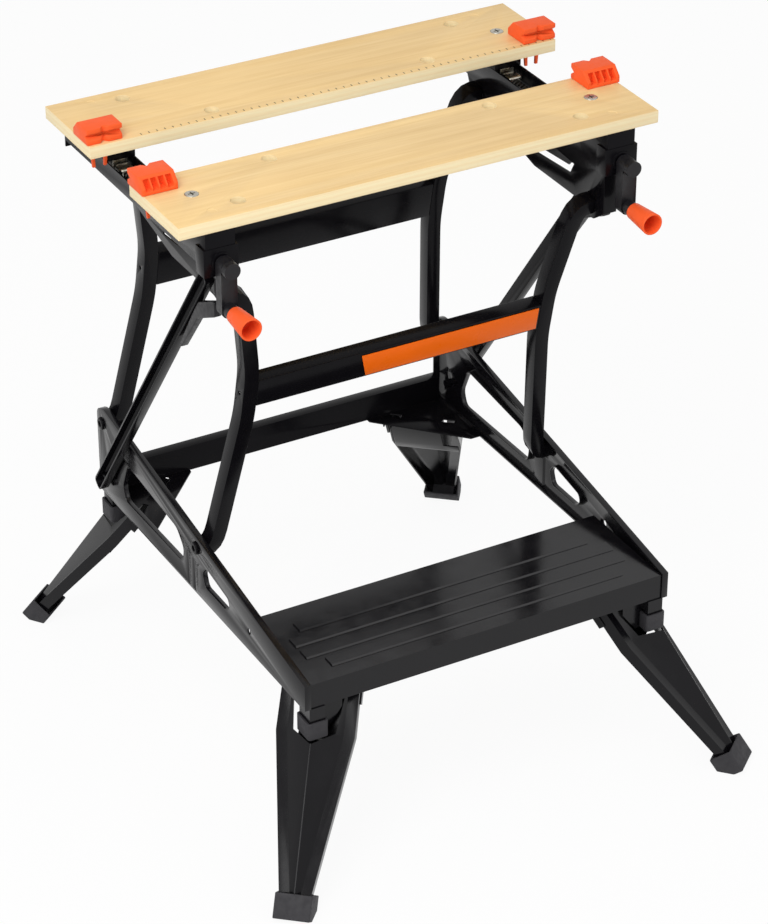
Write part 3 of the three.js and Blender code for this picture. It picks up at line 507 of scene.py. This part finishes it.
class WORKBENCH_OT_boards(Operator):
    """Makes the two jaw boards with their peg holes, bolt recesses and dowel plugs"""

    bl_idname = "workbench.boards"
    bl_label = "Jaw boards"

    def execute(self, context):
        sizes, colours = context.scene.workbench_sizes, context.scene.workbench_colours
        rows = {"front_jaw": (-14.0, -89.0, -51.0, -99.0), "rear_jaw": (129.6, 207.1, 162.1, 214.0)}
        for node, (row, back, bolt, plug) in rows.items():
            low, high = node_box(node)
            board = block(node + "_board", low, high)
            thick = high.z - low.z
            for side in (-1, 1):
                holes = [(142, row, 9.0, thick), (285, row, 9.0, thick), (218.5, back, 9.0, thick)]
                holes += [(BEAM_X, bolt, 4.3, thick), (BEAM_X, bolt, 8.3, 3.3), (255, plug, 5.6, 0.4)]
                for x, y, radius, depth in holes:
                    start = (side * x, y, high.z - depth - (1 if depth == thick else 0))
                    carve(board, rod("drill", "Z", start, depth + 2, radius, sizes.sides))
            soften(board, sizes.board, 3)
            settle(board, laminated_wood(colours, sizes, node == "rear_jaw"), node)
        return {"FINISHED"}


class WORKBENCH_OT_pegs(Operator):
    """Makes the four swivel clamping pegs: a grooved and notched head with ribbed pockets, on a split post"""

    bl_idname = "workbench.pegs"
    bl_label = "Clamping pegs"

    def execute(self, context):
        sizes, colours = context.scene.workbench_sizes, context.scene.workbench_colours
        low, high = node_box("dog_front_right")
        foot = high.z - 19
        under = node_box("front_jaw")[0].z
        head = block("peg", (-21.9, -19, foot), (21.9, 19, high.z))
        only(head)
        bpy.ops.object.mode_set(mode="EDIT")
        bpy.ops.mesh.select_all(action="SELECT")
        bpy.ops.mesh.bisect(
            plane_co=Vector((0, -8, high.z)) * MM, plane_no=(0, -1, 1), use_fill=True, clear_outer=True
        )
        done()
        groove = block("groove", (-30, -4, -4), (30, 4, 4))
        groove.data.transform(Matrix.Rotation(pi / 4, 4, "X"))
        groove.data.transform(Matrix.Diagonal((1, 1.1, 0.72, 1)))
        groove.data.transform(Matrix.Translation(Vector((0, 19, foot + 9.5)) * MM))
        notch = block("notch", (-3.6, -3.6, foot - 2), (3.6, 3.6, high.z + 2))
        notch.data.transform(Matrix.Rotation(pi / 4, 4, "Z"))
        notch.data.transform(Matrix.Translation(Vector((0, 19, 0)) * MM))
        pockets = [
            block("pocket", (x - 3.5, -22, foot + 4), (x + 3.5, -7, high.z - 3)) for x in (-13.5, -4.5, 4.5, 13.5)
        ]
        carve(head, groove, notch, *pockets)
        soften(head, sizes.moulded * 0.75, 3, 28)
        post = rod("post", "Z", (0, 0, under - 1.6), foot - under + 2.6, 8.4, sizes.sides)
        fuse(post, block("prongs", (-10.1, -2.1, low.z), (10.1, 2.1, under - 0.7)))
        carve(post, block("slot", (-6.1, -12, low.z - 1), (6.1, 12, under + 4)))
        pick(post, "FACE", lambda place, normal: normal.z < -0.9 and place.z < low.z + 1)
        bpy.ops.transform.resize(value=(0.86, 0.7, 1))
        done()
        soften(post, 0.5 * MM, 2, 40)
        fuse(head, post)
        for corner, (x, y) in CORNERS.items():
            a, b = node_box("dog_" + corner)
            place = Vector(((a.x + b.x) / 2, (a.y + b.y) / 2, 0)) * MM
            matrix = Matrix.Translation(place) @ Matrix.Rotation(0 if y < 0 else pi, 4, "Z")
            peg = copied(head, "clamping_peg_" + corner, matrix)
            settle(peg, orange_plastic(colours), "dog_" + corner)
        bpy.data.objects.remove(head)
        return {"FINISHED"}


class WORKBENCH_OT_cranks(Operator):
    """Makes the two cranks: a rounded arm with a hub, a boss and a spindle"""

    bl_idname = "workbench.cranks"
    bl_label = "Cranks"

    def execute(self, context):
        sizes, colours = context.scene.workbench_sizes, context.scene.workbench_colours
        arm = block("crank", (BEAM_X - 9.7, -139, GRIP_Z - 9.7), (BEAM_X + 9.7, -125, SCREW_Z + 9.7))
        pick(arm, "EDGE", lambda place, along: abs(along.y) > 0.9)
        bpy.ops.mesh.bevel(offset=8.6 * MM, segments=8)
        done()
        pick(arm, "FACE", lambda place, normal: normal.y < -0.9)
        bpy.ops.mesh.inset(thickness=2.6 * MM)
        bpy.ops.transform.translate(value=(0, 1.2 * MM, 0))
        done()
        hub = rod("hub", "Y", (BEAM_X, -148, SCREW_Z), 10, 9.7, sizes.sides)
        boss = rod("boss", "Y", (BEAM_X, -150, GRIP_Z), 12, 8.7, sizes.sides)
        spindle = rod("spindle", "Y", (BEAM_X, -167.5, GRIP_Z), 19, 4.5, 24)
        fuse(arm, hub, boss, spindle)
        soften(arm, sizes.moulded, 3, 40)
        for side, sign in SIDES.items():
            matrix = Matrix.Diagonal((sign, 1, 1, 1))
            crank = copied(arm, "crank_arm_" + side, matrix)
            settle(crank, black_nylon(colours), "crank_" + side)
        bpy.data.objects.remove(arm)
        return {"FINISHED"}


class WORKBENCH_OT_grips(Operator):
    """Makes the two tapered grips, hollow at the free end"""

    bl_idname = "workbench.grips"
    bl_label = "Crank grips"

    def execute(self, context):
        sizes, colours = context.scene.workbench_sizes, context.scene.workbench_colours
        sleeve = rod("grip", "Y", (BEAM_X, -190, GRIP_Z), 39.7, 10, 64)
        pick(sleeve, "FACE", lambda place, normal: normal.y < -0.9)
        bpy.ops.transform.resize(value=(1.33, 1, 1.33))
        bpy.ops.mesh.extrude_region_move(TRANSFORM_OT_translate={"value": (0, 0, 0)})
        bpy.ops.transform.resize(value=(0.83, 1, 0.83))
        bpy.ops.mesh.extrude_region_move(TRANSFORM_OT_translate={"value": (0, 23.5 * MM, 0)})
        bpy.ops.transform.resize(value=(0.93, 1, 0.93))
        done()
        bore = rod("bore", "Y", (BEAM_X, -170, GRIP_Z), 25, 4.8, 32)
        carve(sleeve, bore)
        soften(sleeve, 0.9 * MM, 3, 40)
        for side, sign in SIDES.items():
            grip = copied(sleeve, "grip_sleeve_" + side, Matrix.Diagonal((sign, 1, 1, 1)))
            settle(grip, orange_plastic(colours), "grip_" + side)
        bpy.data.objects.remove(sleeve)
        return {"FINISHED"}


class WORKBENCH_OT_screws(Operator):
    """Makes the two lead screws with a real thread and a collar"""

    bl_idname = "workbench.screws"
    bl_label = "Lead screws"

    def execute(self, context):
        sizes, colours = context.scene.workbench_sizes, context.scene.workbench_colours
        pitch = sizes.thread_pitch / MM
        low, high = node_box("lead_screw_right")
        first, last = -104.0, high.y - 4
        turns = int((last - first) / pitch)
        core = rod("screw", "Y", (BEAM_X, low.y, SCREW_Z), high.y - low.y, 5.3, 32)
        journal = rod("journal", "Y", (BEAM_X, low.y, SCREW_Z), first - low.y, 6.4, 32)
        collar = rod("collar", "Y", (BEAM_X, -111.7, SCREW_Z), 5, 9.4, 32)
        fuse(core, journal, collar)
        soften(core, 0.4 * MM, 2, 40)
        # One flank profile of the thread, wound along the axis.
        bpy.ops.object.select_all(action="DESELECT")
        bpy.ops.mesh.primitive_plane_add(size=1, location=(0, 0, 0))
        thread = placed("thread")
        corners = [(4.9, 0.4), (6.45, 1.9), (6.45, 3.4), (4.9, 4.9)]
        for point, (radius, along) in zip((thread.data.vertices[i] for i in (0, 1, 3, 2)), corners):
            point.co = Vector((radius, along, 0)) * MM
        apply_modifier(
            thread, "SCREW", axis="Y", angle=2 * pi, screw_offset=sizes.thread_pitch, iterations=turns,
            steps=20, render_steps=20, use_normal_calculate=True, use_merge_vertices=False,
        )
        thread.data.transform(Matrix.Translation(Vector((BEAM_X, first, SCREW_Z)) * MM))
        only(thread)
        bpy.ops.object.mode_set(mode="EDIT")
        bpy.ops.mesh.select_all(action="SELECT")
        bpy.ops.mesh.remove_doubles(threshold=0.000001)
        bpy.ops.mesh.normals_make_consistent(inside=False)
        done()
        bpy.ops.object.select_all(action="DESELECT")
        thread.select_set(True)
        core.select_set(True)
        bpy.context.view_layer.objects.active = core
        bpy.ops.object.join()
        for side, sign in SIDES.items():
            screw = copied(core, "threaded_screw_" + side, Matrix.Translation(((sign - 1) * BEAM_X * MM, 0, 0)))
            settle(screw, oiled_steel(colours), "lead_screw_" + side)
        bpy.data.objects.remove(core)
        return {"FINISHED"}


class WORKBENCH_OT_fixings(Operator):
    """Makes the jaw bolts, the pivot bolts and the lead screw nuts"""

    bl_idname = "workbench.fixings"
    bl_label = "Bolts and nuts"

    def execute(self, context):
        sizes, colours = context.scene.workbench_sizes, context.scene.workbench_colours
        low, high = node_box("jaw_bolt_front_right")
        place = Vector(((low.x + high.x) / 2, (low.y + high.y) / 2, 0))
        head = rod("jaw_bolt", "Z", (0, 0, high.z - 3.5), 3.5, 8, sizes.sides)
        soften(head, 1.1 * MM, 3, 40)
        cross = [block("cross", (-4.2, -0.9, high.z - 2), (4.2, 0.9, high.z + 1))]
        cross += [block("cross", (-0.9, -4.2, high.z - 2), (0.9, 4.2, high.z + 1))]
        carve(head, *cross)
        fuse(head, rod("shank", "Z", (0, 0, low.z), high.z - low.z - 2.5, 4, 24))
        for end in ("front", "rear"):
            for side in SIDES:
                node = f"jaw_bolt_{end}_{side}"
                a, b = node_box(node)
                place = Vector(((a.x + b.x) / 2, (a.y + b.y) / 2, 0)) * MM
                bolt = copied(head, f"jaw_screw_{end}_{side}", Matrix.Translation(place))
                settle(bolt, zinc_plate(colours), node)
        bpy.data.objects.remove(head)
        pivots = ["front_base_bolt", "rear_base_bolt", "front_top_bolt", "rear_top_bolt", "strut_bolt"]
        for pivot in pivots:
            for side, sign in SIDES.items():
                node = f"{pivot}_{side}"
                a, b = node_box(node)
                y, z, radius = (a.y + b.y) / 2, (a.z + b.z) / 2, (b.y - a.y) / 2
                face, end = (b.x, a.x) if sign > 0 else (a.x, b.x)
                bolt = rod(f"{pivot}_head_{side}", "X", (face - 3 * sign, y, z), 3 * sign, radius, 32)
                pick(bolt, "FACE", lambda spot, normal: normal.x * sign > 0.9)
                bpy.ops.mesh.bevel(offset=1.4 * MM, segments=4)
                done()
                socket = rod("socket", "X", (face - 1.4 * sign, y, z), 3 * sign, radius * 0.5, 24)
                carve(bolt, socket)
                shank = rod("shank", "X", (end, y, z), face - end - 2.5 * sign, 4.9, 24)
                fuse(bolt, shank)
                if pivot == "strut_bolt":
                    fuse(bolt, rod("spacer", "X", (243.3 * sign, y, z), 3.4 * sign, 6.9, 24))
                settle(bolt, black_enamel(colours, shade_copy="frame"), node)
        for side in SIDES:
            nut = from_node("jaw_nut_" + side, "screw_nut_" + side)
            soften(nut, 1.0 * MM, 3)
            settle(nut, zinc_plate(colours), "jaw_nut_" + side)
            middle = SIDES[side] * BEAM_X
            sleeve = block("nut_sleeve_" + side, (middle - 9, 115, SCREW_Z - 9.5), (middle + 9, 133.6, SCREW_Z + 10))
            soften(sleeve, 3 * MM, 4)
            carve(sleeve, rod("bore", "Y", (middle, 110, SCREW_Z), 30, 6.7, 32))
            settle(sleeve, zinc_plate(colours), "jaw_nut_" + side, stands_for=False)
        return {"FINISHED"}


class WORKBENCH_OT_beams(Operator):
    """Finishes the vice beams and the slides of the moving jaw"""

    bl_idname = "workbench.beams"
    bl_label = "Vice beams"

    def execute(self, context):
        sizes, colours = context.scene.workbench_sizes, context.scene.workbench_colours
        for side in SIDES:
            for node, name in (("beam_", "vice_beam_"), ("jaw_carrier_", "jaw_slide_")):
                piece = from_node(node + side, name + side)
                soften(piece, sizes.fold)
                settle(piece, black_enamel(colours, shade_copy="frame"), node + side)
        return {"FINISHED"}


# Folding frames


class WORKBENCH_OT_frames(Operator):
    """Finishes the uprights, the crossbar, the rear panel and the orange plate"""

    bl_idname = "workbench.frames"
    bl_label = "Folding frames"

    def execute(self, context):
        sizes, colours = context.scene.workbench_sizes, context.scene.workbench_colours
        pivots = {"front": (-2.0, 282.0, 232.0), "rear": (258.0, 318.0, 237.0)}
        for end, (y, z, along) in pivots.items():
            for side, sign in SIDES.items():
                node = f"{end}_upright_{side}"
                upright = from_node(node, f"{end}_post_{side}")
                place = (sign * 200, y - along * sin(FRAME_LEAN), z + along * cos(FRAME_LEAN))
                carve(upright, rod("drill", "X", place, sign * 12, 2.6, 24))
                soften(upright, sizes.fold * 1.6, 3)
                settle(upright, black_enamel(colours, shade_copy="frame"), node)
        for node, name in (("front_crossbar", "front_rail"), ("rear_panel", "rear_rail")):
            rail = from_node(node, name)
            soften(rail, sizes.fold * 1.3, 3)
            settle(rail, black_enamel(colours, shade_copy="frame"), node)
        plate = from_node("colour_plate", "orange_panel")
        soften(plate, 0.35 * MM)
        settle(plate, orange_paint(colours), "colour_plate")
        return {"FINISHED"}


class WORKBENCH_OT_struts(Operator):
    """Finishes the diagonal struts and their latch levers"""

    bl_idname = "workbench.struts"
    bl_label = "Struts and latches"

    def execute(self, context):
        sizes, colours = context.scene.workbench_sizes, context.scene.workbench_colours
        for side in SIDES:
            strut = from_node("strut_" + side, "diagonal_strut_" + side)
            soften(strut, sizes.fold)
            settle(strut, black_enamel(colours, shade_copy="frame"), "strut_" + side)
            latch = from_node("latch_" + side, "latch_lever_" + side)
            soften(latch, sizes.moulded, 3)
            settle(latch, black_nylon(colours), "latch_" + side)
        return {"FINISHED"}


# Base


class WORKBENCH_OT_plates(Operator):
    """Finishes the side plates with pressed grooves below the front pivot and rolled rims round the windows"""

    bl_idname = "workbench.plates"
    bl_label = "Side plates"

    def execute(self, context):
        sizes, colours = context.scene.workbench_sizes, context.scene.workbench_colours
        windows = {"rear": (20, 215, 232, 300), "front": (-96, -10, 232, 272)}
        for side, sign in SIDES.items():
            node = "base_plate_" + side
            plate = from_node(node, "side_plate_" + side)
            for window, (near, far, bottom, top) in windows.items():
                rim = copied(plate, f"window_rim_{window}_{side}", Matrix.Identity(4))
                pick(
                    rim,
                    "FACE",
                    lambda spot, normal: abs(normal.x) > 0.5
                    or not (near < spot.y < far and bottom < spot.z < top),
                )
                bpy.ops.mesh.delete(type="FACE")
                done()
                pick(rim, "VERT", lambda spot, normal: abs(spot.x) < 242)
                bpy.ops.transform.translate(value=(-sign * 4.5 * MM, 0, 0))
                done()
                apply_modifier(rim, "SOLIDIFY", thickness=1.6 * MM, offset=0)
                soften(rim, 0.5 * MM, 2, 40)
                settle(rim, black_enamel(colours), node, stands_for=False)
            ridge = block("ridge", (sign * 238.8, -1, 219.3), (sign * 241.4, 24, 262))
            pick(ridge, "FACE", lambda spot, normal: normal.x * sign < -0.9)
            bpy.ops.transform.resize(value=(1, 0.74, 0.92))
            done()
            fuse(plate, ridge)
            carve(plate, *(rod("groove", "Z", (sign * 248.3, y, 219.5), 44, 6, 48) for y in (3, 19)))
            soften(plate, sizes.fold)
            settle(plate, black_enamel(colours), node)
        return {"FINISHED"}


class WORKBENCH_OT_crossmembers(Operator):
    """Finishes the ribbed step and the rear channel"""

    bl_idname = "workbench.crossmembers"
    bl_label = "Step and rear channel"

    def execute(self, context):
        sizes, colours = context.scene.workbench_sizes, context.scene.workbench_colours
        step = from_node("step", "ribbed_step")
        tread = node_box("step")[1].z - RIB_RISE
        for y, half in STEP_RIBS:
            near = y - RIB_HALF - CREASE_WIDTH
            carve(step, block("crease", (-half, near, tread - CREASE_DEPTH), (half, y - RIB_HALF, tread + 1)))
        soften(step, sizes.pressed)
        settle(step, black_enamel(colours), "step", angle=20)
        channel = from_node("rear_crossmember", "rear_channel")
        soften(channel, sizes.fold)
        settle(channel, black_enamel(colours, shade_copy="frame"), "rear_crossmember")
        return {"FINISHED"}


def on_leg_ridge(place, signs):
    """Whether a place in mm lies on the outer ridge of the leg at a corner."""
    hinge = Vector((signs[0] * LEG_HINGE[0], signs[1] * LEG_HINGE[1], LEG_HINGE[2]))
    outwards = Vector((signs[0] * cos(LEG_HEADING), signs[1] * sin(LEG_HEADING), 0))
    offset = place - hinge
    across = offset.x * outwards.y - offset.y * outwards.x
    out = offset.dot(outwards)
    depth = out * cos(LEG_TILT) + offset.z * sin(LEG_TILT)
    along = out * sin(LEG_TILT) - offset.z * cos(LEG_TILT)
    ridge = 40 - 9.5 * max(0, along - 63) / 199
    return abs(across) < 0.6 and depth > ridge - 1.3


def leg_matrix(signs):
    """From a leg's own axes to the bench: X to its ridge, Y to the bench's middle, Z up its length."""
    hinge = Vector((signs[0] * LEG_HINGE[0], signs[1] * LEG_HINGE[1], LEG_HINGE[2])) * MM
    outwards = Vector((signs[0] * cos(LEG_HEADING), signs[1] * sin(LEG_HEADING), 0))
    inwards = Vector((-signs[0] * sin(LEG_HEADING), signs[1] * cos(LEG_HEADING), 0))
    up = Vector((0, 0, 1))
    ridge = outwards * cos(LEG_TILT) + up * sin(LEG_TILT)
    length = up * cos(LEG_TILT) - outwards * sin(LEG_TILT)
    return Matrix.Translation(hinge) @ Matrix((ridge, inwards, length)).transposed().to_4x4()


class WORKBENCH_OT_legs(Operator):
    """Finishes the four fold-out legs and their shoes, puts a dark sheet behind each leg's notch as painted shade,
    and finishes the caps of the stub posts
    """

    bl_idname = "workbench.legs"
    bl_label = "Legs, shoes and caps"

    def execute(self, context):
        sizes, colours = context.scene.workbench_sizes, context.scene.workbench_colours
        # Painted shade: a flat enamel sheet behind each leg's notch darkens what is seen through it, where the leg's
        # inside lies in shade.
        notch_shade_plate = block("notch_shade_plate", (0.3, -22, -80), (2, 43, -14))
        fuse(notch_shade_plate, block("foot_of_plate", (0.3, -42, -80), (2, 42, -64)))
        soften(notch_shade_plate, 0.3 * MM)
        for corner, signs in CORNERS.items():
            plate = copied(notch_shade_plate, "notch_shade_plate_" + corner, leg_matrix(signs))
            settle(plate, black_enamel(colours, shade_copy="leg"), "leg_" + corner, stands_for=False)
            leg = from_node("leg_" + corner, "pressed_leg_" + corner)
            pick(leg, "EDGE", lambda place, along: on_leg_ridge(place, signs))
            bpy.ops.mesh.bevel(offset=sizes.ridge, segments=3)
            done()
            soften(leg, sizes.fold)
            settle(leg, black_enamel(colours, shade_copy="leg"), "leg_" + corner, angle=20)
            shoe = from_node("leg_shoe_" + corner, "rubber_shoe_" + corner)
            soften(shoe, sizes.rubber, 3)
            settle(shoe, foot_rubber(colours), "leg_shoe_" + corner)
            cap = from_node("stub_cap_" + corner, "rubber_cap_" + corner)
            soften(cap, sizes.rubber, 3)
            settle(cap, foot_rubber(colours), "stub_cap_" + corner)
        bpy.data.objects.remove(notch_shade_plate)
        return {"FINISHED"}


# Stage


def pale_when_seen(tree, pale, lit, share=1.0):
    """Mixes in a pale shader for what the camera, mirrors and glass see, and keeps the other for the light."""
    path = add_node(tree, "ShaderNodeLightPath").outputs
    seen = math_node(tree, "MAXIMUM", path["Is Camera Ray"], path["Is Glossy Ray"])
    seen = math_node(tree, "MAXIMUM", seen, path["Is Transmission Ray"])
    factor = math_node(tree, "MULTIPLY", seen, share)
    return add_node(tree, "ShaderNodeMixShader", links={0: factor, 1: lit, 2: pale}).outputs[0]


class WORKBENCH_OT_stage(Operator):
    """Makes the pale floor, the soft studio light and the camera"""

    bl_idname = "workbench.stage"
    bl_label = "Stage"

    def execute(self, context):
        scene = context.scene
        scene.view_settings.view_transform = "Standard"
        bpy.ops.object.select_all(action="DESELECT")
        bpy.ops.mesh.primitive_plane_add(size=14, location=(0, 0, 0))
        floor = placed("floor")
        material = bpy.data.materials.new("pale_studio_floor")
        material.use_nodes = True
        tree = material.node_tree
        tree.nodes.remove(tree.nodes["Principled BSDF"])
        lit = add_node(tree, "ShaderNodeBsdfDiffuse", {"Color": (0.9, 0.9, 0.9, 1)}).outputs[0]
        pale = add_node(tree, "ShaderNodeEmission", {"Color": (1, 1, 1, 1), "Strength": 1.0}).outputs[0]
        tree.links.new(pale_when_seen(tree, pale, lit, 0.93), tree.nodes["Material Output"].inputs["Surface"])
        floor.data.materials.append(material)

        world = bpy.data.worlds.new("white_studio")
        scene.world = world
        world.use_nodes = True
        tree = world.node_tree
        lit = add_node(tree, "ShaderNodeBackground", {"Color": (1, 1, 1, 1), "Strength": 0.58}).outputs[0]
        pale = add_node(tree, "ShaderNodeBackground", {"Color": (1, 1, 1, 1), "Strength": 1.0}).outputs[0]
        tree.links.new(pale_when_seen(tree, pale, lit), tree.nodes["World Output"].inputs["Surface"])

        lamps = {
            "key_softbox": ((-1.4, -1.0, 2.6), (1.4, 1.4), 33),
            "fill_softbox": ((1.6, -3.2, 2.2), (1.8, 1.8), 14),
            "edge_strip": ((-2.4, -2.0, 1.5), (1.2, 0.7), 11),
        }
        for name, (place, (width, height), power) in lamps.items():
            lamp = bpy.data.lights.new(name, "AREA")
            lamp.shape = "RECTANGLE"
            lamp.size = width
            lamp.size_y = height
            lamp.energy = power
            lamp_object = bpy.data.objects.new(name, lamp)
            scene.collection.objects.link(lamp_object)
            lamp_object.location = place
            aim = Vector((0, 0, 0.45)) - Vector(place)
            lamp_object.rotation_euler = aim.to_track_quat("-Z", "Y").to_euler()

        camera = bpy.data.cameras.new("camera")
        camera.lens = 128.95
        camera.sensor_width = 36
        camera_object = bpy.data.objects.new("camera", camera)
        scene.collection.objects.link(camera_object)
        camera_object.location = (-1.63548, -2.98267, 2.39821)
        aim = Vector((0.01169, 0, 0.32447)) - camera_object.location
        camera_object.rotation_euler = aim.to_track_quat("-Z", "Y").to_euler()
        scene.camera = camera_object
        return {"FINISHED"}


PIECE_OPERATORS = (
    WORKBENCH_OT_boards,
    WORKBENCH_OT_pegs,
    WORKBENCH_OT_cranks,
    WORKBENCH_OT_grips,
    WORKBENCH_OT_screws,
    WORKBENCH_OT_fixings,
    WORKBENCH_OT_beams,
    WORKBENCH_OT_frames,
    WORKBENCH_OT_struts,
    WORKBENCH_OT_plates,
    WORKBENCH_OT_crossmembers,
    WORKBENCH_OT_legs,
)


class WORKBENCH_PT_panel(Panel):
    """Lists the bench's pieces and its sizes and colours."""

    bl_idname = "WORKBENCH_PT_panel"
    bl_label = "Folding workbench"
    bl_space_type = "VIEW_3D"
    bl_region_type = "UI"
    bl_category = "Workbench"

    def draw(self, context):
        layout = self.layout
        for operator in (WORKBENCH_OT_stage, *PIECE_OPERATORS):
            layout.operator(operator.bl_idname)
        for group in (context.scene.workbench_sizes, context.scene.workbench_colours):
            column = layout.column(align=True)
            for key in group.__annotations__:
                column.prop(group, key)


CLASSES = (WorkbenchColours, WorkbenchSizes, WORKBENCH_OT_stage, *PIECE_OPERATORS, WORKBENCH_PT_panel)


def register():
    for cls in CLASSES:
        bpy.utils.register_class(cls)
    bpy.types.Scene.workbench_colours = PointerProperty(type=WorkbenchColours)
    bpy.types.Scene.workbench_sizes = PointerProperty(type=WorkbenchSizes)


def unregister():
    del bpy.types.Scene.workbench_sizes
    del bpy.types.Scene.workbench_colours
    for cls in reversed(CLASSES):
        bpy.utils.unregister_class(cls)


def main():
    register()
    bpy.ops.workbench.stage()
    bpy.ops.workbench.boards()
    bpy.ops.workbench.pegs()
    bpy.ops.workbench.cranks()
    bpy.ops.workbench.grips()
    bpy.ops.workbench.screws()
    bpy.ops.workbench.fixings()
    bpy.ops.workbench.beams()
    bpy.ops.workbench.frames()
    bpy.ops.workbench.struts()
    bpy.ops.workbench.plates()
    bpy.ops.workbench.crossmembers()
    bpy.ops.workbench.legs()


if __name__ == "__main__":
    main()
